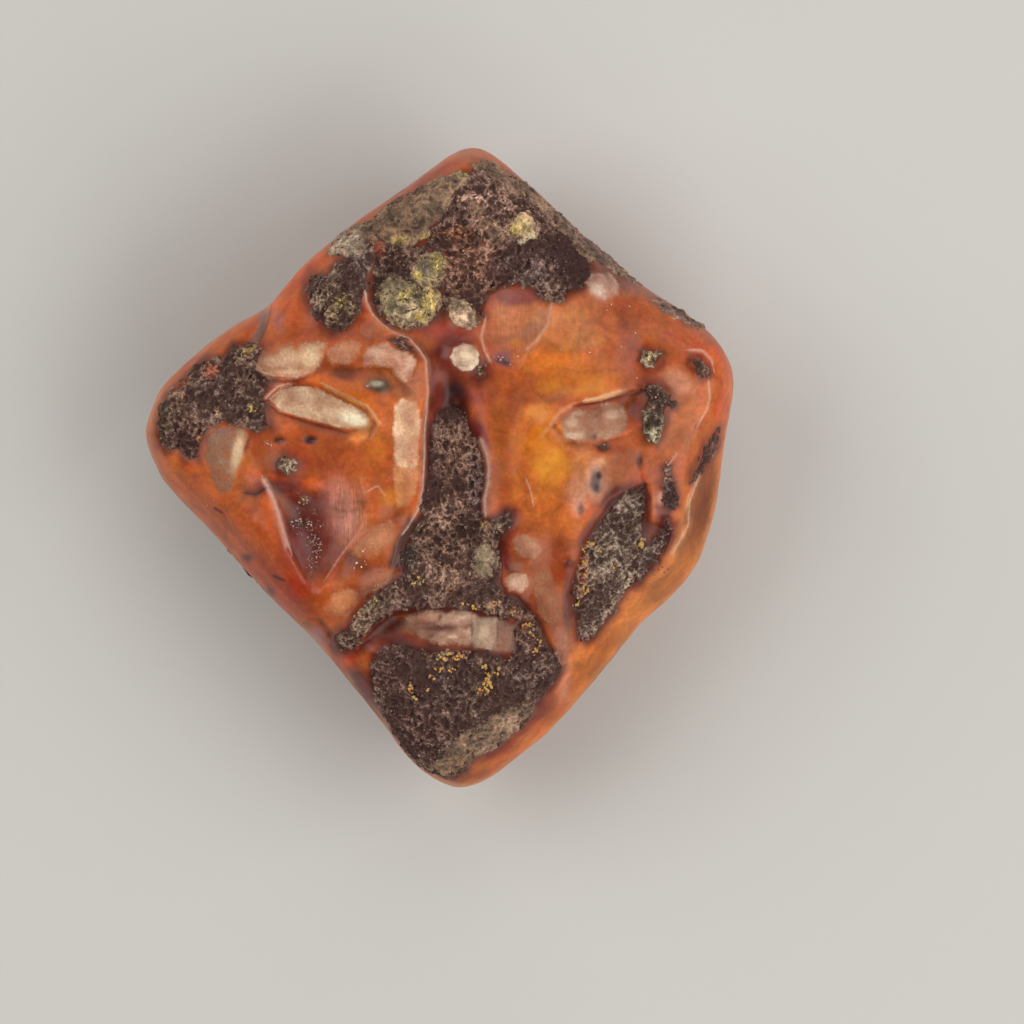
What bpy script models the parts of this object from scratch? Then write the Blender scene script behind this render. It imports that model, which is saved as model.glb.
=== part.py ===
"""Raw amber piece, one solid, resting on the small worn flat of its back.

The broad face looks up (+Z) and the sharper of its long corners points to +Y.
Lengths in the constants are millimetres; the mesh is written in metres.
"""

import bmesh
import bpy
import numpy as np

MM = 0.001

# Grid cells along each of the four sides, on the back and on the broad face.
BACK_CELLS = 29
FACE_CELLS = 2 * BACK_CELLS

# The outline from above, side by side: top corner, right, bottom, left.
UPPER_RIGHT = [
    (2.4, 23.1), (3.8, 22.5), (7.0, 19.8), (11.0, 16.0), (14.7, 12.9),
    (17.1, 11.5), (19.5, 9.7), (20.7, 8.0),
]
LOWER_RIGHT = [
    (21.1, 6.2), (20.4, 2.0), (19.7, -3.5), (18.5, -7.0), (16.8, -9.1),
    (14.5, -11.0), (11.0, -15.4), (8.0, -18.8), (4.0, -22.0),
]
LOWER_LEFT = [
    (1.6, -23.2), (-0.2, -22.5), (-2.0, -21.2), (-5.0, -17.1), (-8.0, -13.3),
    (-9.4, -11.9), (-12.0, -9.4), (-16.0, -4.9), (-20.0, -0.8),
]
UPPER_LEFT = [
    (-21.3, 2.5), (-20.0, 5.9), (-16.0, 9.5), (-13.6, 11.0), (-12.4, 11.3),
    (-10.0, 14.5), (-6.0, 17.8), (-2.0, 20.4), (1.0, 22.7),
]
SIDES = (UPPER_RIGHT, LOWER_RIGHT, LOWER_LEFT, UPPER_LEFT)
OUTLINE_STEP = 0.15
OUTLINE_ROUNDING = 0.55

# The rim, the widest level of the piece, and how it rolls over to each face.
RIM_LEVEL = 7.6
FACE_RISE = 4.9
BACK_DROP = 5.4
FACE_ROLL = 2.3
BACK_ROLL = 5.5
FACE_ARCH = 2.3
BACK_ARCH = 2.8
RING_ANGLES = (-52.0, -26.0, 0.0, 20.0, 40.0, 58.0)

# The broad bevel of the lower right side: which way it looks and where it sets in.
BEVEL_WAY = (0.74, -0.67)
BEVEL_FROM, BEVEL_TO = 12.5, 17.5
BEVEL_ROLL = 5.2
BEVEL_BEND = 1.85

# Broad swells of the face: centre, half lengths, turn in degrees, height.
SWELLS = [
    (-7.5, 5.5, 8.0, 6.0, -10, 0.7),
    (8.5, 1.0, 6.0, 9.0, 5, 0.8),
    (9.5, 9.8, 7.0, 4.0, -20, 0.6),
    (-13.5, -3.5, 7.0, 5.0, -45, 0.5),
    (2.0, -15.5, 8.0, 6.5, 0, 0.5),
    (-16.5, 4.5, 5.0, 5.0, 0, 0.35),
    (4.0, 17.0, 8.0, 6.0, -40, 0.4),
]

# Hollows: loop, depth, width of the sloping wall.
TRENCH = [
    (0.4, 6.6), (-0.7, 4.6), (-0.9, 1.0), (-1.2, -2.6), (-2.6, -5.4),
    (-0.6, -6.6), (2.2, -6.0), (3.2, -3.6), (3.5, 0.4), (2.7, 2.7), (2.0, 5.4),
]
TRENCH_FOOT = [
    (-3.2, -6.0), (-2.8, -8.2), (0.4, -9.3), (4.2, -8.6), (4.4, -5.4),
    (2.8, -3.8), (-1.4, -3.8),
]
MOUTH = [
    (-4.9, -11.6), (-3.3, -10.2), (0.6, -9.9), (4.6, -10.3), (5.7, -11.8),
    (5.2, -13.4), (0.8, -13.0), (-4.2, -12.6),
]
CHIN = [
    (-5.2, -13.4), (-1.0, -12.8), (5.6, -13.2), (7.2, -11.4), (8.6, -14.2),
    (7.0, -17.2), (4.2, -20.0), (1.4, -21.6), (-1.4, -21.2), (-4.6, -17.2),
]
DIAMOND = [
    (14.4, -1.2), (14.9, -3.6), (16.4, -4.6), (15.2, -7.0), (12.6, -10.2),
    (10.4, -12.3), (9.6, -11.0), (9.3, -8.8), (10.2, -5.3), (12.2, -2.4),
]
CHEEK = [
    (-12.4, -0.7), (-10.0, -1.8), (-6.6, -0.9), (-5.4, -2.6), (-6.2, -5.4),
    (-8.0, -7.6), (-9.2, -8.4), (-10.8, -5.6),
]
CROWN = [
    (-5.0, 12.6), (-4.4, 15.4), (-1.6, 17.4), (1.2, 18.8), (4.4, 17.8),
    (8.6, 17.2), (11.0, 14.0), (8.4, 11.8), (5.0, 13.0), (3.2, 10.2),
    (0.0, 10.4), (-3.6, 9.8),
]
LEFT_EYE = [
    (-12.1, 5.0), (-10.6, 6.0), (-8.0, 5.8), (-4.8, 4.2), (-4.6, 2.9),
    (-6.6, 2.6), (-10.0, 3.5),
]
RIGHT_EYE = [
    (8.1, 3.5), (10.2, 4.5), (13.4, 5.2), (13.8, 3.4), (12.4, 2.0), (9.2, 1.7),
]
LOBE_CRUST = [
    (-20.4, 3.0), (-18.6, 6.4), (-14.8, 8.7), (-12.4, 8.6), (-11.9, 5.6),
    (-12.0, 3.2), (-16.2, 2.8), (-17.4, 0.6), (-20.2, 1.4),
]
FAN = [
    (3.5, 11.9), (4.8, 13.0), (7.6, 11.6), (7.4, 9.6), (5.6, 7.8), (3.2, 8.6),
]
HOLLOWS = [
    (TRENCH, 1.35, 1.5),
    (TRENCH_FOOT, 0.8, 1.8),
    (MOUTH, 1.1, 0.9),
    (CHIN, 0.7, 1.6),
    (DIAMOND, 0.9, 1.3),
    (CHEEK, 1.6, 2.4),
    (CROWN, 1.1, 1.5),
    (LEFT_EYE, 0.9, 0.9),
    (RIGHT_EYE, 1.0, 0.8),
    (LOBE_CRUST, 0.5, 1.4),
    (FAN, 0.6, 1.6),
]

# Raised edges and creases: line, height (below zero for a crease), half width.
CREST = [
    (-4.9, 12.4), (-4.9, 11.3), (-3.6, 9.9), (-1.9, 9.0), (-0.9, 7.6),
    (-0.8, 5.0), (-1.0, 1.0), (-1.3, -2.6), (-2.4, -4.4), (-3.1, -6.4),
]
LINES = [
    (CREST, 0.45, 0.7),
    ([(8.0, 3.5), (10.0, 4.9), (13.2, 5.6)], 0.5, 0.7),
    ([(-12.0, 5.4), (-10.6, 6.2), (-8.0, 5.9), (-4.4, 3.6)], 0.3, 0.6),
    ([(-12.5, -0.8), (-11.5, -3.0), (-10.7, -5.4)], 0.45, 0.7),
    ([(8.1, 11.5), (7.5, 9.9), (6.2, 8.3)], 0.35, 0.6),
    ([(17.9, -1.5), (16.6, -6.0), (13.4, -9.8), (11.2, -13.6)], 0.3, 0.8),
    ([(-7.4, -12.3), (-5.6, -10.6), (-3.2, -8.4)], 0.7, 0.7),
    ([(-8.4, -11.4), (-6.7, -9.6), (-4.6, -7.4)], -0.7, 0.9),
    ([(-6.2, -13.3), (-4.2, -11.2), (-2.4, -9.8)], -0.5, 0.7),
    ([(-12.5, 12.2), (-12.3, 10.6), (-12.9, 8.9)], -0.8, 0.9),
    ([(-2.8, -3.4), (-5.2, -4.9), (-7.0, -7.4)], -0.8, 0.9),
    ([(4.6, -5.0), (5.0, -7.0), (7.2, -11.0), (9.0, -13.6)], -0.45, 0.8),
    ([(-13.2, 6.2), (-9.4, 6.6), (-5.4, 7.2), (-2.6, 6.0)], -0.45, 0.8),
    ([(13.4, 12.2), (14.4, 8.0), (13.6, 5.6)], -0.3, 1.0),
    ([(-9.6, -11.2), (-7.8, -11.0), (-7.6, -13.0)], -0.35, 0.8),
]

# Rounded lumps: centre, half lengths, turn in degrees, height.
LUMPS = [
    (-2.3, 11.8, 2.2, 2.1, 0, 1.5),
    (-0.6, 14.1, 1.3, 1.3, 0, 1.1),
    (1.6, 11.0, 1.5, 1.2, -35, 0.9),
    (6.0, 17.0, 1.3, 1.3, 0, 0.8),
    (-7.2, 12.3, 2.4, 2.8, -20, 0.55),
    (-6.6, 15.8, 1.5, 1.1, 30, 0.4),
    (-1.5, 18.0, 3.0, 1.5, 35, 0.45),
    (1.8, 7.9, 1.2, 1.1, 0, 0.7),
    (11.7, 12.9, 1.3, 1.1, -15, 0.6),
    (13.4, 12.7, 1.0, 0.9, 0, 0.4),
    (6.2, -5.6, 1.4, 1.2, -30, 0.6),
    (5.6, -8.1, 1.4, 1.1, 20, 0.65),
    (7.8, -9.6, 1.0, 1.5, 20, 0.4),
    (3.3, -6.2, 1.3, 1.5, 0, 0.6),
    (-4.8, -5.0, 1.7, 1.0, 35, 0.5),
    (-4.6, -7.8, 1.4, 0.9, 20, 0.4),
    (-10.4, 8.0, 2.6, 1.5, 15, 0.6),
    (-6.4, 8.4, 1.7, 1.0, -5, 0.5),
    (-3.4, 8.1, 2.0, 1.0, -10, 0.6),
    (-8.6, 4.4, 3.2, 1.1, -14, 0.7),
    (-15.2, 0.8, 1.5, 2.8, -20, 0.35),
    (-10.7, 0.2, 1.2, 1.0, 0, 0.45),
    (9.6, 2.9, 1.4, 0.9, 10, 0.5),
    (12.1, 3.3, 1.3, 1.0, 0, 0.6),
    (3.4, -11.7, 1.3, 1.2, 0, 0.8),
    (0.2, -11.0, 2.8, 0.9, 0, 0.6),
    (15.5, 5.1, 1.5, 0.9, -35, 0.5),
    (15.2, 3.0, 0.9, 1.4, 0, 0.45),
    (18.5, 7.2, 1.0, 1.0, 0, 0.3),
    (15.0, 7.8, 1.0, 0.9, 0, 0.3),
    (4.7, -3.9, 0.8, 1.4, -45, 0.6),
    (-2.2, -6.3, 1.2, 0.9, 40, 0.5),
    (12.9, -3.6, 1.4, 2.4, -35, 0.4),
]

# Large shallow chips and swells of the back, in the form of SWELLS.
BACK_SWELLS = [
    (-11.0, 5.0, 7.0, 4.5, 20, -1.1),
    (9.0, -10.5, 6.0, 4.5, 50, -1.2),
    (10.5, 9.5, 5.5, 4.0, -40, -0.9),
    (-3.0, -15.5, 4.5, 4.0, 0, -0.9),
    (-1.0, 15.5, 5.0, 3.0, 10, 0.8),
    (15.0, 0.5, 3.5, 4.0, 0, 0.7),
    (-12.0, -4.5, 4.0, 3.0, -45, 0.7),
]


def ramp(t):
    """0 below 0, 1 above 1, and smooth between."""
    t = np.clip(t, 0.0, 1.0)
    return t * t * (3.0 - 2.0 * t)


def smooth_loop(points):
    """The closed outline, sampled evenly and with its corners rounded."""
    ring = np.array(points + points[:1])
    along = np.r_[0.0, np.cumsum(np.hypot(*np.diff(ring, axis=0).T))]
    at = np.arange(0.0, along[-1], OUTLINE_STEP)
    loop = np.column_stack([np.interp(at, along, ring[:, k]) for k in (0, 1)])
    reach = int(4 * OUTLINE_ROUNDING / OUTLINE_STEP)
    shifts = range(-reach, reach + 1)
    weights = [np.exp(-0.5 * (k * OUTLINE_STEP / OUTLINE_ROUNDING) ** 2) for k in shifts]
    blurred = sum(w * np.roll(loop, k, axis=0) for k, w in zip(shifts, weights))
    blurred /= sum(weights)
    return blurred - (blurred.min(axis=0) + blurred.max(axis=0)) / 2


def side_points(loop, cells):
    """Evenly spaced outline points of each side, both corners included."""
    starts = [np.hypot(*(loop - side[0]).T).argmin() for side in SIDES]
    sides = []
    for start, end in zip(starts, starts[1:] + starts[:1]):
        count = (end - start) % len(loop)
        at = start + np.linspace(0, count, cells + 1)
        low = np.floor(at).astype(int) % len(loop)
        part = (at % 1.0)[:, None]
        sides.append(loop[low] * (1 - part) + loop[(low + 1) % len(loop)] * part)
    return sides


def inward(loop, points):
    """Unit vectors that point from these outline points into the piece."""
    near = nearest(loop, points)
    along = loop[(near + 4) % len(loop)] - loop[near - 4]
    along /= np.hypot(*along.T)[:, None]
    return np.column_stack([along[:, 1], -along[:, 0]])


def nearest(loop, points):
    """Index of the outline sample closest to each point."""
    apart = points[:, None, :] - loop[None, :, :]
    return (apart ** 2).sum(axis=2).argmin(axis=1)


def bevel_share(points):
    """1 on the bevelled lower right side, 0 on the others."""
    return ramp((points @ np.array(BEVEL_WAY) - BEVEL_FROM) / (BEVEL_TO - BEVEL_FROM))


def roll_of(points, upper):
    """Width over which the rim rolls into a face, and how full the bend is."""
    share = bevel_share(points)
    if not upper:
        return np.full(len(points), BACK_ROLL), np.full(len(points), 2.0)
    wobble = 0.35 * np.sin(0.42 * points[:, 0] + 0.31 * points[:, 1])
    return (
        FACE_ROLL + wobble + (BEVEL_ROLL - FACE_ROLL) * share,
        2.0 + (BEVEL_BEND - 2.0) * share,
    )


def rim_level(points):
    return RIM_LEVEL + 0.5 * np.sin(0.16 * points[:, 0] - 0.21 * points[:, 1] + 0.6)


def ring(loop, cells, degrees):
    """One ring of points round the rim, and its levels."""
    flat = [side[:-1] for side in side_points(loop, cells)]
    edge = np.concatenate(flat)
    roll, bend = roll_of(edge, degrees > 0)
    rise = FACE_RISE if degrees > 0 else -BACK_DROP
    angle = np.radians(abs(degrees))
    inset = roll * (1 - np.cos(angle) ** (2 / bend))
    level = rim_level(edge) + rise * np.sin(angle) ** (2 / bend)
    return edge + inward(loop, edge) * inset[:, None], level


def coons(edge, cells):
    """Points of a grid spanned between the four sides of a closed ring."""
    top, right, bottom, left = (
        np.roll(edge, -k * cells, axis=0)[: cells + 1] for k in range(4)
    )
    u = np.linspace(0, 1, cells + 1)[:, None, None]
    v = np.linspace(0, 1, cells + 1)[None, :, None]
    low, high = bottom[::-1][:, None], top[:, None]
    west, east = left[None], right[::-1][None]
    corners = (
        (1 - u) * ((1 - v) * low[0, 0] + v * high[0, 0])
        + u * ((1 - v) * low[-1, 0] + v * high[-1, 0])
    )
    return (1 - v) * low + v * high + (1 - u) * west + u * east - corners


def swell(points, x, y, long, wide, turn, height):
    """A smooth mound, or a dish when its height is below zero."""
    angle = np.radians(turn)
    dx, dy = points[:, 0] - x, points[:, 1] - y
    along = (dx * np.cos(angle) + dy * np.sin(angle)) / long
    across = (dy * np.cos(angle) - dx * np.sin(angle)) / wide
    return height * np.clip(1 - along ** 2 - across ** 2, 0, None) ** 1.3


def lump(points, x, y, long, wide, turn, height):
    """A rounded lump with steeper sides than a swell."""
    full = swell(points, x, y, long, wide, turn, 1.0)
    return height * np.clip(full, 0, 1) ** 0.55


def line_distance(points, line):
    """Distance from each point to a line of straight pieces."""
    best = np.full(len(points), np.inf)
    for start, end in zip(np.array(line[:-1]), np.array(line[1:])):
        way = end - start
        share = np.clip((points - start) @ way / (way @ way), 0, 1)
        best = np.minimum(best, np.hypot(*(points - start - share[:, None] * way).T))
    return best


def depth_inside(points, loop):
    """Distance to the loop's border, above zero for the points inside it."""
    x, y = points.T
    inside = np.zeros(len(points), bool)
    for (ax, ay), (bx, by) in zip(loop, loop[1:] + loop[:1]):
        if ay != by:
            crossing = ax + (y - ay) * (bx - ax) / (by - ay)
            inside ^= ((ay > y) != (by > y)) & (x < crossing)
    return np.where(inside, 1, -1) * line_distance(points, loop + loop[:1])


def face_relief(points):
    """Swells, hollows, edges and lumps of the broad face."""
    height = sum(swell(points, *numbers) for numbers in SWELLS)
    for loop, depth, wall in HOLLOWS:
        height -= depth * ramp(0.35 + depth_inside(points, loop) / wall)
    for line, rise, wide in LINES:
        height += rise * np.exp(-((line_distance(points, line) / wide) ** 2))
    height += np.max([lump(points, *numbers) for numbers in LUMPS], axis=0)
    x, y = points.T
    return height + 0.12 * np.sin(0.9 * x + 0.5 * y) * np.sin(0.6 * x - 1.1 * y + 1)


def soften(levels, cells):
    """Each inner height of a grid drawn half way to the mean of its neighbours."""
    grid = levels.reshape(cells + 1, cells + 1).copy()
    around = grid[:-2, 1:-1] + grid[2:, 1:-1] + grid[1:-1, :-2] + grid[1:-1, 2:]
    grid[1:-1, 1:-1] = 0.5 * grid[1:-1, 1:-1] + 0.125 * around
    return grid.ravel()


def face_levels(loop, points):
    """Height of the broad face above each point."""
    near = loop[nearest(loop, points)]
    off = np.hypot(*(points - near).T)
    roll, bend = roll_of(near, True)
    rest = 1 - np.clip(off / roll, 0, 1)
    level = rim_level(near) + FACE_RISE * (1 - rest ** bend) ** (1 / bend)
    level += (RIM_LEVEL - rim_level(near)) * ramp(off / 6)
    arch = FACE_ARCH * (1 - np.clip((points ** 2).sum(axis=1) / 23 ** 2, 0, 1))
    return level + ramp((off - 0.7) / 2.4) * arch + ramp((off - 0.6) / 1.4) * face_relief(points)


def back_levels(loop, points):
    """Height of the back: domed, chipped, and worn flat where it rests."""
    near = loop[nearest(loop, points)]
    off = np.hypot(*(points - near).T)
    roll, bend = roll_of(near, False)
    rest = 1 - np.clip(off / roll, 0, 1)
    level = rim_level(near) - BACK_DROP * (1 - rest ** bend) ** (1 / bend)
    level += (RIM_LEVEL - rim_level(near)) * ramp(off / 6)
    arch = BACK_ARCH * (1 - np.clip((points ** 2).sum(axis=1) / 19 ** 2, 0, 1))
    chips = sum(swell(points, *numbers) for numbers in BACK_SWELLS)
    return np.maximum(level - ramp((off - 1) / 5) * (arch + chips), 0.0)


def border(cells):
    """Grid places of the border, in the order of the rings."""
    steps = range(cells)
    return (
        [(i, cells) for i in steps]
        + [(cells, cells - j) for j in steps]
        + [(cells - i, 0) for i in steps]
        + [(0, j) for j in steps]
    )


def add_grid(shape, grid, levels, cells, upper):
    """One face of the piece. Returns its border vertices in ring order."""
    verts = [shape.verts.new((*p, z)) for p, z in zip(grid.reshape(-1, 2) * MM, levels * MM)]
    at = lambda i, j: verts[i * (cells + 1) + j]
    for i in range(cells):
        for j in range(cells):
            corners = [at(i, j), at(i + 1, j), at(i + 1, j + 1), at(i, j + 1)]
            shape.faces.new(corners if upper else corners[::-1])
    return [at(i, j) for i, j in border(cells)]


def add_band(shape, lower, upper):
    """Faces between two rings; the upper one may have twice the vertices."""
    share = len(upper) // len(lower)
    for k, start in enumerate(lower):
        end = lower[(k + 1) % len(lower)]
        above = [upper[(k * share + n) % len(upper)] for n in range(share + 1)]
        shape.faces.new([end, start, *above])


def build_piece():
    loop = smooth_loop([point for side in SIDES for point in side])
    shape = bmesh.new()
    back_edge, _ = ring(loop, BACK_CELLS, RING_ANGLES[0])
    back = coons(back_edge, BACK_CELLS)
    levels = back_levels(loop, back.reshape(-1, 2))
    rings = [add_grid(shape, back, levels, BACK_CELLS, False)]
    for degrees in RING_ANGLES[1:-1]:
        points, heights = ring(loop, BACK_CELLS, degrees)
        places = np.column_stack([points, heights]) * MM
        rings.append([shape.verts.new(place) for place in places])
    face_edge, _ = ring(loop, FACE_CELLS, RING_ANGLES[-1])
    face = coons(face_edge, FACE_CELLS)
    levels = soften(face_levels(loop, face.reshape(-1, 2)), FACE_CELLS)
    rings.append(add_grid(shape, face, levels, FACE_CELLS, True))
    for lower, upper in zip(rings, rings[1:]):
        add_band(shape, lower, upper)
    bmesh.ops.triangulate(shape, faces=shape.faces[:], quad_method="SHORT_EDGE")
    return shape


def amber_material():
    material = bpy.data.materials.new("amber")
    material.use_nodes = True
    shader = material.node_tree.nodes["Principled BSDF"]
    shader.inputs["Base Color"].default_value = (0.41, 0.12, 0.03, 1)
    shader.inputs["Roughness"].default_value = 0.3
    shader.inputs["IOR"].default_value = 1.54
    return material


def main():
    for obj in list(bpy.data.objects):
        bpy.data.objects.remove(obj)
    shape = build_piece()
    mesh = bpy.data.meshes.new("amber_piece")
    shape.to_mesh(mesh)
    shape.free()
    mesh.materials.append(amber_material())
    bpy.context.scene.collection.objects.link(bpy.data.objects.new("amber_piece", mesh))


main()
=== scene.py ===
"""Raw amber piece: a lump of fossil resin with its weathered rind, sand and silt."""

import math

import bpy
import numpy as np
from mathutils import Euler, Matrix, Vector, noise
from mathutils.bvhtree import BVHTree


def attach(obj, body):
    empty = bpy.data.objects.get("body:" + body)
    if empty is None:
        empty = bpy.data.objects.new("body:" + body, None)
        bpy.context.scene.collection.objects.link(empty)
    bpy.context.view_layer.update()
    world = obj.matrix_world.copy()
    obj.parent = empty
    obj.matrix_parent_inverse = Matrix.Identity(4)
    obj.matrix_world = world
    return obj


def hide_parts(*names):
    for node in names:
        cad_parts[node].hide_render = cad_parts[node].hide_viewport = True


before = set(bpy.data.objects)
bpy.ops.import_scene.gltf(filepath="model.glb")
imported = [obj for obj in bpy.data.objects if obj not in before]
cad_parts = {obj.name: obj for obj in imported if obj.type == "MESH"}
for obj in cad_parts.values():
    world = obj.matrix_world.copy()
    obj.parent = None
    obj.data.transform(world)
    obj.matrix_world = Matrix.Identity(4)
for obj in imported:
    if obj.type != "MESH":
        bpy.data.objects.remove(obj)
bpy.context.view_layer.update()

# The amber lump
#
# One natural piece of fossil resin, tumbled and worn until it is satin smooth. Light goes into
# it at the high places, and its hollows are stained dark red where rind still covers them.

MM = 0.001
WELD_WITHIN = 0.001 * MM
QUAD_ANGLE = math.radians(60)
LUMP_SMOOTHING = 2
# Heights above the table, in millimetres: where the lump is widest, and where its upper side
# begins.
RIM_LEVEL = 7.6
UPPER_LEVEL = RIM_LEVEL - 0.6


def put(name, data):
    """A new object in the scene."""
    made = bpy.data.objects.new(name, data)
    bpy.context.scene.collection.objects.link(made)
    return made


def pick(obj):
    """Makes this the only selected object, and the active one."""
    bpy.ops.object.select_all(action="DESELECT")
    obj.select_set(True)
    bpy.context.view_layer.objects.active = obj


lump = put("amber_lump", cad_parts["amber_piece"].data.copy())
lump.data.materials.clear()
pick(lump)
bpy.ops.mesh.customdata_custom_splitnormals_clear()
bpy.ops.object.mode_set(mode="EDIT")
bpy.ops.mesh.select_all(action="SELECT")
bpy.ops.mesh.remove_doubles(threshold=WELD_WITHIN)
bpy.ops.mesh.tris_convert_to_quads(face_threshold=QUAD_ANGLE, shape_threshold=QUAD_ANGLE)
bpy.ops.object.mode_set(mode="OBJECT")
rounding = lump.modifiers.new("rounding", "SUBSURF")
rounding.levels = rounding.render_levels = LUMP_SMOOTHING
bpy.ops.object.modifier_apply(modifier="rounding")
lump.data.polygons.foreach_set("use_smooth", [True] * len(lump.data.polygons))


def read(items, name, width=1, kind=float):
    """One property of each of these items: a number, or a row of them."""
    values = np.empty(len(items) * width, kind)
    items.foreach_get(name, values)
    return values.reshape(-1, width) if width > 1 else values


def read_points(mesh):
    """The mesh's vertices, in millimetres."""
    return read(mesh.vertices, "co", 3) / MM


def write_points(mesh, values):
    mesh.vertices.foreach_set("co", (values * MM).ravel())
    mesh.update()


def read_normals(mesh):
    return read(mesh.vertex_normals, "vector", 3)


def ramp(t):
    """0 below 0, 1 above 1, and smooth between."""
    t = np.clip(t, 0.0, 1.0)
    return t * t * (3.0 - 2.0 * t)


def wander(places, per_mm, octaves, seed):
    """Smooth noise from about -1 to 1 at these places."""
    shift = Vector((seed * 7.3, seed * 3.1, -seed * 5.7))
    return np.array(
        [noise.fractal(Vector(p) * per_mm + shift, 1.0, 2.0, octaves) for p in places]
    )


def even_out(mesh, values, times):
    """Averages the values of neighbouring vertices again and again."""
    one, other = read(mesh.edges, "vertices", 2, np.int64).T
    size = len(values)
    count = np.bincount(one, minlength=size) + np.bincount(other, minlength=size)
    for _ in range(times):
        total = np.bincount(one, values[other], size) + np.bincount(other, values[one], size)
        values = 0.5 * values + 0.5 * total / np.maximum(count, 1)
    return values


# The lump's points, which of them are on the upper side, and where those lie in plan.
points = read_points(lump.data)
seen = np.flatnonzero(points[:, 2] > UPPER_LEVEL)
flat = points[seen, :2]
# How far from a line it is still felt, in millimetres.
FELT = 4.0


def to_line(line):
    """Distance of each point of the upper side from a line, and which side it is on:
    1 on the right of someone walking along it, -1 on the left."""
    best = np.full(len(flat), FELT)
    side = np.ones(len(flat))
    ends = np.array(line, float)
    low, high = ends.min(axis=0) - FELT, ends.max(axis=0) + FELT
    close = np.flatnonzero(((flat > low) & (flat < high)).all(axis=1))
    for start, end in zip(ends[:-1], ends[1:]):
        way = end - start
        apart = flat[close] - start
        share = np.clip(apart @ way / (way @ way), 0, 1)
        far = np.hypot(*(apart - share[:, None] * way).T)
        nearer = far < best[close]
        best[close[nearer]] = far[nearer]
        turned = way[1] * apart[:, 0] - way[0] * apart[:, 1]
        side[close[nearer]] = np.where(turned[nearer] >= 0, 1.0, -1.0)
    return best, side


def inside(loop):
    """Distance to a closed loop, above zero for the points inside it."""
    away, _ = to_line(loop + loop[:1])
    x, y = flat.T
    within = np.zeros(len(flat), bool)
    for (ax, ay), (bx, by) in zip(loop, loop[1:] + loop[:1]):
        if ay != by:
            within ^= ((ay > y) != (by > y)) & (x < ax + (y - ay) * (bx - ax) / (by - ay))
    return np.where(within, away, -away)


def spot(x, y, long, wide, turn=0):
    """1 over most of an oval, falling softly to 0 around it."""
    angle = math.radians(turn)
    dx, dy = flat[:, 0] - x, flat[:, 1] - y
    along = (dx * math.cos(angle) + dy * math.sin(angle)) / long
    across = (dy * math.cos(angle) - dx * math.sin(angle)) / wide
    return np.minimum(1.35 * np.exp(-1.6 * (along**2 + across**2) ** 1.3), 1.0)


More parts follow.
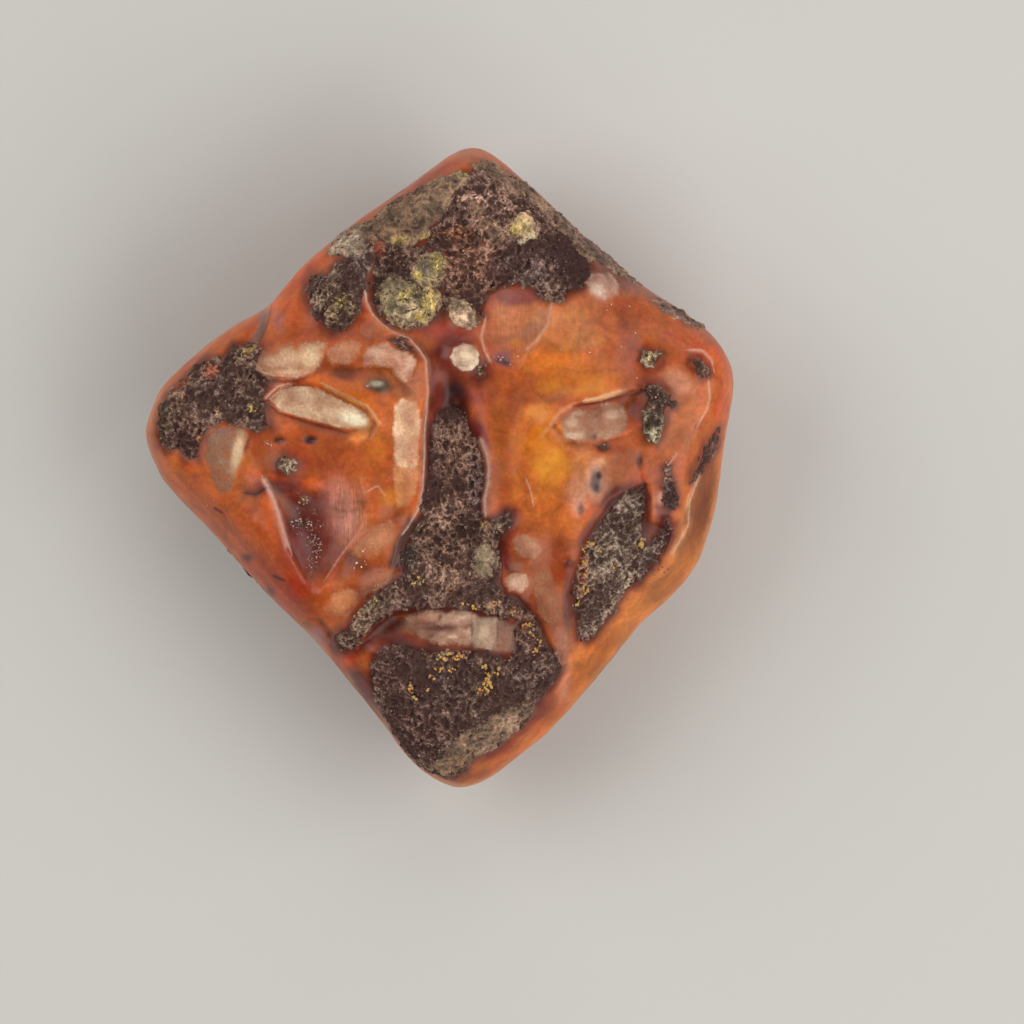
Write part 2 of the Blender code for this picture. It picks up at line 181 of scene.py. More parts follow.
# Where dark rind still covers the resin.
RIND = [
    [
        (-0.4, 3.4), (0, 4.1), (0.7, 4.7), (1.6, 4.5), (2.1, 3.5), (2.5, 2.5), (2.95, 1.4),
        (3.2, 0.2), (3.25, -1.2), (3.1, -3), (3.1, -3.8), (4, -3.6), (4.8, -3), (5.3, -3),
        (5.4, -3.5), (4.9, -4.5), (4.2, -5.3), (4.3, -7), (4.1, -8), (4.6, -8.8), (5.6, -9.2),
        (6.3, -9.8), (7.1, -11), (7.5, -12.3), (8.3, -13.2), (8.6, -14), (8.3, -15.2),
        (7.3, -16.2), (6.9, -17.2), (6.2, -18.2), (5, -19.1), (4.2, -19.9), (3, -20.3), (2, -20.8),
        (2, -21.6), (1, -22), (0, -22), (-1.5, -21.4), (-2.5, -20.3), (-2.9, -19.4), (-3.8, -17.9),
        (-4.6, -16.4), (-4.9, -15.2), (-4.8, -14), (-4.5, -13.2), (-3.9, -12.6), (-2.8, -12.2),
        (-1, -12.6), (0, -12.8), (1.5, -12.9), (3.2, -12.9), (5, -13.4), (5.4, -12.8),
        (5.5, -11.9), (5.2, -10.8), (4, -10.4), (2, -10), (0, -9.9), (-3, -10.1), (-4, -10.6),
        (-5, -11.6), (-6, -12.8), (-7.3, -12.9), (-7.5, -11.9), (-6.4, -11.2), (-6, -10.5),
        (-5.4, -9.8), (-4.4, -8.6), (-3.5, -7.9), (-2.7, -7.4), (-3, -6.8), (-2.6, -5.7),
        (-1.9, -4.3), (-1.3, -3.2), (-0.9, -1), (-0.8, 1.5), (-0.7, 2.6),
    ],
    [
        (14.4, -1.1), (14.7, -1.8), (14.7, -2.8), (14.6, -3.8), (14.4, -4.8), (14.8, -5.3),
        (15.4, -4.8), (15.7, -4.1), (15.8, -3.4), (16.3, -3.2), (16.6, -3.9), (16.4, -4.7),
        (15.9, -5.6), (15.5, -6.6), (14.9, -7.2), (14.3, -8.1), (13.5, -8.5), (12.9, -9.3),
        (12.5, -10.1), (11.6, -10.9), (11, -11.9), (10.4, -12.3), (9.9, -12), (9.8, -11),
        (9.5, -9.5), (9.3, -8.9), (9.6, -7.5), (10, -6.2), (10.3, -5.3), (11.1, -4.6),
        (11.3, -3.9), (12.1, -3), (12.4, -2.3), (13.3, -1.5),
    ],
    [
        (-19.9, 4.5), (-19.2, 5.4), (-18.3, 6.2), (-17.6, 7.2), (-16.5, 7.8), (-15.3, 8.1),
        (-14.6, 8.9), (-13.6, 9), (-12.7, 8.8), (-12.3, 8.3), (-12.8, 7), (-12, 6.4), (-11.9, 5.6),
        (-12.3, 4.8), (-12, 3.6), (-11.9, 2.9), (-13, 2.6), (-14, 2.9), (-15.2, 3.3), (-16.3, 2.8),
        (-16.8, 1.8), (-17, 0.6), (-17.9, 0.5), (-18.6, 1.2), (-19.4, 1.1), (-20, 1.7),
        (-20.1, 3.2),
    ],
    [
        (-9.6, 13.2), (-9, 13.9), (-7.8, 13.8), (-7.2, 14.8), (-6.2, 15.6), (-5.2, 16.3),
        (-4.5, 16.2), (-4.5, 14.5), (-4.9, 13.5), (-5, 12.5), (-5.3, 11.4), (-5.8, 10.5),
        (-6.3, 9.9), (-7.5, 9.5), (-8.3, 10), (-9, 11), (-9.4, 12),
    ],
    [
        (-0.5, 17.2), (0.6, 18.6), (1, 20.6), (2.6, 21.4), (5.6, 20.6), (7, 19.3), (8.4, 18),
        (9.6, 16.8), (10.5, 15.7), (11, 14.7), (10.8, 13.5), (10, 12.6), (9.2, 12.2), (8.6, 11.7),
        (7.4, 11.9), (6.6, 12.6), (5.8, 13), (4.6, 12.9), (3.6, 12.4), (3.2, 11.6), (3.1, 10.8),
        (0.3, 11.2), (-0.2, 12), (0.4, 13.4), (0.4, 15), (-0.2, 15.5), (-1.6, 15.4), (-0.8, 16.3),
    ],
    [
        (-4.9, 12), (-4.8, 13.6), (-4.8, 15.4), (-3.6, 16), (-1.8, 16), (0.6, 15.4), (0.4, 12.6),
        (-0.3, 10.8), (-1.4, 9.9), (-2.4, 9.8), (-3.6, 10.2), (-4.4, 11),
    ],
    [(-11.6, 0.3), (-11, 0.9), (-10.2, 0.8), (-9.8, 0.2), (-10.2, -0.5), (-11.1, -0.5)],
    [
        (14.5, 6.2), (15.3, 6.2), (16.2, 5.6), (17, 4.6), (16.9, 4.2), (16.1, 4.1), (16.2, 3.2),
        (15.8, 2.3), (15.4, 1.6), (14.7, 1.8), (14.4, 2.6), (14.2, 3.5), (14.4, 4.3), (14.6, 4.9),
        (14.2, 5.6),
    ],
    [(17.8, 8), (18.5, 8), (19.1, 7.2), (19.3, 6.6), (18.7, 6.3), (18.1, 6.8), (17.7, 7.5)],
    [
        (20, 3), (20, 2.2), (19.6, 1), (18.8, -0.2), (18, -1.2), (17.7, -1), (18.1, 0),
        (18.6, 1.2), (19.2, 2.2),
    ],
    [(14.3, 8.3), (15, 8.6), (15.9, 8.1), (15.6, 7.2), (14.6, 7.1), (14.2, 7.6)],
    [(-3.4, 9.2), (-2.4, 9.2), (-1.5, 8.4), (-1.4, 7.9), (-2.4, 8.2), (-3, 8.5)],
    [(2.7, 7.5), (3.3, 7.5), (3.5, 6.6), (2.9, 6.2), (2.5, 6.7)],
    [(15.7, 0.2), (16.4, 0.2), (16.9, -1.2), (16.9, -2.6), (16.3, -3.1), (15.7, -2.5), (15.8, -1)],
]
# Grey and tan silt packed over the rind, mostly along the edges.
SILT = [
    [
        (-8, 15.2), (-7.2, 16.5), (-6, 17.3), (-5, 17.6), (-4, 18.3), (-3.4, 19), (-2.2, 19.5),
        (-1, 20.2), (0.3, 20.7), (1.5, 21.1), (2.2, 20.6), (1.8, 20), (1, 19.6), (0.9, 18.9),
        (0.6, 18), (-0.4, 17.4), (-0.8, 16.4), (-1.6, 15.9), (-2.6, 15.2), (-3.5, 15.7),
        (-4.8, 16), (-5.8, 15.2), (-6.5, 15),
    ],
    [
        (2, 21.7), (3.2, 21.9), (5, 21), (6.3, 20.2), (6, 19.3), (5.2, 19.3), (4.2, 19.8),
        (3.5, 20.5), (2.5, 21),
    ],
    [(1.8, 18.9), (2.6, 18.9), (3.8, 17.6), (4.8, 16.3), (4.2, 15.9), (3.2, 17), (2, 18.2)],
    [
        (6.4, 20.1), (7.4, 19.3), (8.6, 18.3), (10, 17.1), (11.2, 16), (12.4, 14.9), (13.6, 13.9),
        (14.4, 13.1), (13.6, 13.2), (12.4, 13.9), (11.2, 14.5), (10.2, 15.1), (9.4, 16), (8.5, 17),
        (7.6, 18.1), (6.6, 19.2), (6, 19.7),
    ],
    [
        (14.7, 12.6), (15.2, 12.3), (16.5, 11.7), (18, 10.8), (19, 10.1), (18.5, 9.9),
        (17.6, 10.2), (16.8, 10.9), (15.8, 11.3), (15, 12),
    ],
    [
        (6.4, -16.6), (6.9, -17.2), (5.6, -18.5), (4.3, -19.6), (2.8, -20.4), (1.7, -21.6),
        (0.3, -21.9), (-0.6, -21.1), (0.2, -20), (1.4, -18.9), (3, -17.9), (4.6, -17),
    ],
    [(3, -5.1), (3.8, -5.3), (4, -6.4), (3.8, -7.6), (3, -7.9), (2.3, -7), (2.5, -5.9)],
    [(5, 16.4), (5.3, 17.8), (6.3, 18.2), (7.1, 17.4), (7, 16.4), (6, 15.9)],
    [
        (0.4, 11.5), (0.9, 12.1), (1.8, 12), (2.7, 11.3), (3, 10.6), (2.7, 10), (2, 9.75),
        (1.2, 10.1), (0.6, 10.7),
    ],
    [
        (-4.5, 11.9), (-4.3, 13), (-3.4, 13.7), (-2.3, 13.5), (-1.5, 12.8), (-0.6, 13), (0, 12.4),
        (0, 11.4), (-0.5, 10.5), (-1.3, 9.95), (-2.6, 9.95), (-3.7, 10.6),
    ],
    [
        (-2.1, 13.8), (-1.8, 14.8), (-1, 15.4), (0.1, 15.4), (0.7, 14.6), (0.5, 13.5),
        (-0.2, 12.8), (-1.4, 12.9),
    ],
]
rind = np.max([inside(loop) for loop in RIND], axis=0)
silt = np.max([inside(loop) for loop in SILT], axis=0)

# Sharp steps, lips and creases: line, height of the step with the right side up, and reach.
CREST = [
    (-5.2, 12.8), (-5.1, 11.8), (-4.6, 10.8), (-4, 10.2), (-3.3, 9.7), (-2.6, 9.4), (-2, 9.1),
    (-1.3, 8.3), (-0.9, 7.7), (-0.8, 6.5), (-0.75, 5.5), (-0.85, 4), (-1, 2.5), (-1, 1),
    (-1.05, 0), (-1.15, -1.5), (-1.3, -2.6), (-1.9, -3.7), (-2.5, -4.6), (-2.8, -5.5),
    (-3.1, -6.5),
]
STEPS = [
    (CREST, 0.34, 0.7),
    ([(-12, 5.1), (-11.4, 5.75), (-10.5, 5.95), (-9, 6), (-8, 5.8), (-6.5, 5.05), (-5, 4.25),
      (-4.2, 3.2), (-4.6, 2.5)], -0.2, 0.5),
    ([(-11.7, 4.3), (-11.2, 3.9), (-10, 3.55), (-8.5, 3.15), (-6.5, 2.65), (-5.2, 2.8)],
      -0.14, 0.5),
    ([(-13, 7), (-12.3, 6.55), (-11, 6.3), (-9.8, 6.4), (-9, 6.8), (-8.4, 7.6)], -0.18, 0.5),
    ([(-5.5, 7.1), (-4.6, 7.2), (-3.4, 7), (-2.8, 6.3), (-2.3, 5.8)], -0.18, 0.5),
    ([(8, 3.2), (8.7, 4.1), (10, 4.6), (11.2, 4.8), (12, 5.1), (12.8, 5.4), (14.2, 5.6)],
      -0.26, 0.6),
    ([(8.5, 2.7), (9, 2.15), (9.8, 1.8), (11, 1.9), (12.3, 2.15), (13.3, 2.5)], -0.2, 0.5),
    ([(-5.2, -12), (-4.5, -11.1), (-3.5, -10.3), (-1.5, -10), (0.5, -9.95), (2, -10.05),
      (4.5, -10.45), (5.6, -11.4), (5.7, -12.8)], -0.35, 0.6),
    ([(-12.4, -0.7), (-11.7, -2), (-11.3, -3.2), (-11, -4.3), (-10.7, -5.4), (-9.8, -7.2)],
      0.26, 0.7),
    ([(-5.5, -1.2), (-5.2, -2.6), (-5.9, -4.7), (-7.2, -6.4), (-8, -7.8)], -0.12, 0.7),
    ([(8.1, 11.6), (7.6, 10.1), (6.8, 9), (6.2, 8.3)], -0.16, 0.6),
    ([(-12, 12.2), (-12.3, 11.2), (-12.3, 10.2), (-12.5, 9.6), (-12.9, 8.8)], -0.25, 0.8),
    ([(10.8, 13.5), (10, 12.6), (9.2, 12.2), (8.6, 11.7), (7.4, 11.9), (6.6, 12.6), (5.8, 13),
      (4.6, 12.9), (3.6, 12.4), (3.2, 11.4)], -0.15, 0.5),
    ([(8.7, -13.6), (8.5, -15), (7.5, -16.3), (6.8, -17.4), (5.2, -19), (3.2, -20.4)], -0.15, 0.5),
    ([(14.6, -1), (15, -2.2), (14.9, -3.7), (16.6, -4.3), (15.6, -6.9), (12.7, -10.2),
      (10.6, -12.5)], -0.18, 0.5),
    ([(14.6, -1), (12.2, -2.2), (10.3, -5), (9.2, -8.8), (9.7, -11.9), (10.6, -12.5)], 0.18, 0.5),
    ([(-7.7, -12), (-6.5, -10.9), (-5.6, -9.7), (-4.4, -8.4), (-3.4, -7.7)], 0.2, 0.5),
    ([(19.1, 6), (19.2, 5), (19, 4.2), (18.4, 3.3)], 0.06, 0.6),
    ([(4.3, -5.2), (4.4, -6.8), (4.4, -8), (5.6, -9), (7.2, -10.8), (8, -12.6)], -0.14, 0.5),
    ([(-10, -11.2), (-9.3, -10.5), (-8.3, -10.6), (-7.6, -11.4), (-7.3, -13.2)], -0.18, 0.5),
    ([(3, 2), (3.4, 1), (3.55, 0), (3.5, -1), (3.25, -2.2), (3.3, -3.4)], -0.18, 0.6),
]
# Fine raised threads and, below zero, cracks: line, height, half width.
THREADS = [
    (CREST, 0.09, 0.12),
    ([(-8, 5.9), (-6.5, 5.1), (-5, 4.35), (-4.2, 3.2)], 0.08, 0.14),
    ([(-12.2, 5), (-11.4, 5.8), (-10.5, 6)], 0.07, 0.14),
    ([(10, 4.7), (11.2, 4.95), (12.2, 5.2), (13, 5.5)], 0.1, 0.16),
    ([(-12.4, -0.7), (-11.6, -2), (-11.2, -3.2), (-10.9, -4.4)], 0.1, 0.15),
    ([(8, 11.5), (7.6, 10.1), (6.8, 9)], 0.08, 0.16),
    ([(-15.1, -2.5), (-15.1, -5)], -0.06, 0.15),
    ([(-4.9, -1.6), (-4.3, -1.3), (-3.9, -1.9)], 0.06, 0.15),
    ([(16.7, 0.8), (16.2, 0.2), (16, -0.8)], 0.06, 0.16),
    ([(6.2, -1), (6.7, -2.3)], 0.06, 0.15),
    ([(-12, 12), (-12.4, 10), (-12.9, 8.8)], -0.2, 0.3),
    ([(-3, -3.5), (-5.5, -4.8), (-6.6, -6.5), (-7, -7.6)], -0.16, 0.4),
    ([(4.5, -5.4), (4.7, -6.8), (5, -7.3)], -0.2, 0.3),
    ([(5, 5), (4.9, 2), (4.9, -3)], -0.05, 0.5),
]
# Small lumps and, below zero, pits: centre, half lengths, turn if any, height.
BUMPS = [
    (-3.4, 12.6, 0.8, 0.7, 20, 0.28), (-2.2, 13, 0.8, 0.6, 0.26), (-1.1, 12.7, 0.7, 0.7, 0.28),
    (-0.75, 11.6, 0.6, 0.8, 0.28), (-1.5, 10.7, 0.8, 0.6, 30, 0.26),
    (-2.7, 10.8, 0.8, 0.6, -10, 0.26), (-3.7, 11.5, 0.6, 0.8, 0.26), (-2.3, 11.8, 0.7, 0.6, 0.3),
    (-0.5, 14.2, 0.8, 0.8, 0.3), (-5.6, 3.6, 1, 0.6, -15, 0.25), (-7.6, 4.2, 1, 0.7, -15, 0.12),
    (-9.8, 4.8, 1.1, 0.7, -10, 0.12), (1.85, 7.85, 1.1, 1, 0.34), (9.6, 3, 0.9, 0.8, 0.16),
    (12.1, 3.4, 1, 0.9, 0.16), (10.8, 3.2, 1.6, 0.8, 8, 0.14), (11.7, 12.9, 0.9, 0.8, 0.22),
    (13.3, 12.8, 0.7, 0.6, 0.12), (6.2, -5.5, 1, 0.8, -30, 0.22), (5.5, -8.1, 1, 0.65, 10, 0.28),
    (7.8, -9.5, 0.7, 1.2, 20, 0.18), (8.6, -11.7, 0.6, 0.8, 0.12), (8.7, -13, 0.5, 0.7, 0.12),
    (3.3, -11.75, 0.85, 1, 0.3), (4.9, -11.9, 0.6, 1, 0.24), (-1, -10.45, 0.9, 0.35, 5, 0.2),
    (1.4, -10.6, 1, 0.3, 20, 0.22), (-1.2, -11.35, 0.9, 0.35, -5, 0.16),
    (0.9, -11.95, 1.1, 0.35, 5, 0.2), (4.8, -3.9, 0.4, 0.8, -45, 0.3),
    (16.2, -3.8, 0.4, 0.5, 0.25), (9.2, -6.7, 0.35, 0.35, 0.25), (-4.5, -4.9, 1.6, 0.8, 40, 0.3),
    (-4.4, -7.9, 1.1, 0.6, 20, 0.25), (-6.9, -9.5, 1.2, 0.7, 25, 0.22),
    (-4.7, 9.8, 0.7, 0.45, 0.2), (-4.1, 7.9, 1.1, 0.5, -10, 0.2), (-2.4, 7.3, 0.7, 0.8, 0.2),
    (-6.7, 8.5, 1.1, 0.5, 15, 0.15), (-5.5, 2.3, 0.9, 0.35, 25, 0.15),
    (-10.7, 0.2, 0.8, 0.65, 0.2), (15.5, 5.2, 0.9, 0.6, -30, 0.25), (15.3, 3, 0.6, 0.9, 0.22),
    (18.5, 7.2, 0.6, 0.7, 30, 0.18), (15, 7.8, 0.6, 0.6, 0.16), (15.7, -2, 0.5, 0.7, 0.2),
    (-6.6, 15.8, 0.9, 0.6, 30, 0.2), (-2.8, 17.6, 1.2, 0.7, 30, 0.15),
    (0, 19.2, 1.2, 0.8, 20, 0.16), (4.4, 20.4, 1.1, 0.5, -35, 0.15), (6, 17.1, 0.9, 0.9, 0.22),
    (1.7, 11, 1, 0.8, -35, 0.22), (1.9, 14.5, 1, 0.7, 40, 0.2), (3.3, 15, 0.7, 0.6, 0.2),
    (2.4, 17.2, 0.9, 0.6, 0.2), (5.4, 14.9, 0.8, 0.5, 0.2), (7, 13.9, 0.9, 0.7, 0.22),
    (8.8, 15.2, 0.9, 0.6, -40, 0.2), (-7.7, 13, 0.9, 0.7, 0.2), (-6, 13.4, 0.7, 0.9, 0.2),
    (-7.2, 11, 0.9, 0.7, 0.2), (12.8, -3.4, 0.8, 0.9, 0.25), (13.4, -5.6, 0.8, 0.9, 0.2),
    (11.6, -6.6, 0.8, 1, 0.2), (12, -8.4, 0.9, 0.8, 0.2), (10.6, -10.2, 0.6, 0.9, 0.2),
    (-4.2, 5.85, 0.8, 0.45, -5, 0.14), (-9.1, 2, 0.5, 0.3, -0.25), (-11.3, 2, 0.5, 0.2, -0.2),
    (11.6, 1.5, 0.5, 0.35, -0.25), (11.1, -0.9, 0.45, 0.9, -0.25), (10, -2.9, 0.25, 0.45, -0.15),
    (14.2, 0.5, 0.25, 0.4, -0.15), (4.4, 7.6, 0.5, 0.3, -20, -0.2), (-13.6, -6.3, 0.5, 0.3, -0.15),
    (-12, -8.7, 0.4, 0.3, -0.15), (-9.5, -2.3, 0.4, 0.3, 0.12), (-8.9, -1.2, 0.7, 0.5, 0.15),
]

# How much higher each point of the upper side comes to lie. A step is so steep that it is made
# within this distance of its line.
STEP_WIDTH = 0.1
lift = np.zeros(len(flat))
for line, rise, reach in STEPS:
    away, side = to_line(line)
    lift += rise * side * np.tanh(away / STEP_WIDTH) * np.exp(-away / reach)
for line, rise, wide in THREADS:
    away, _ = to_line(line)
    lift += rise * np.exp(-((away / wide) ** 2))
for *place, rise in BUMPS:
    lift += rise * spot(*place)
# Slow waves and fine ripples left by the tumbling.
waves = wander(points[seen], 0.35, 3, seed=3)
ripple = wander(points[seen], 1.6, 2, seed=2)
lift += 0.07 * waves + 0.018 * ripple
# The relief dies out towards the rim, from a height of 10.8 mm down to 8.6 mm.
points[seen, 2] += lift * ramp((points[seen, 2] - 8.6) / 2.2)
write_points(lump.data, points)

# The sides and the back: broad dents and small knocks, flat where the lump rests.
normals = read_normals(lump.data)
level = points[:, 2]
lower = ramp((10.0 - level) / 2.5) * ramp(level / 0.6)
low = np.flatnonzero(lower > 0)
dents = wander(points[low], 0.16, 2, seed=4) * ramp(np.abs(level[low] - RIM_LEVEL) / 2.2)
knocks = wander(points[low], 0.8, 3, seed=5)
points[low] += normals[low] * ((0.4 * dents + 0.05 * knocks) * lower[low])[:, None]
points[:, 2] = np.maximum(points[:, 2], 0.0)
write_points(lump.data, points)
# Where rind still clings to the back: a few patches, none of them as high as the rim.
patches = wander(points, 0.13, 2, seed=6) + 0.35 * wander(points, 0.7, 2, seed=7)
patches = 2.2 * (patches - 0.26) - 4 * ramp((level - 4.8 - 2.2 * patches) / 2.5)


def linear(code):
    """An sRGB hex colour as linear red, green and blue."""
    parts = [int(code[k : k + 2], 16) / 255 for k in (0, 2, 4)]
    return np.array([p / 12.92 if p <= 0.04045 else ((p + 0.055) / 1.055) ** 2.4 for p in parts])


def stain(paint, code, share):
    """Lays a colour over the paint, as strongly as the share says."""
    paint += (linear(code) - paint) * share[:, None]


def dab(paint, dabs):
    """Lays soft oval patches over the paint of the upper side, one over the other."""
    for *place, colour, strength in dabs:
        stain(paint, colour, strength * spot(*place))


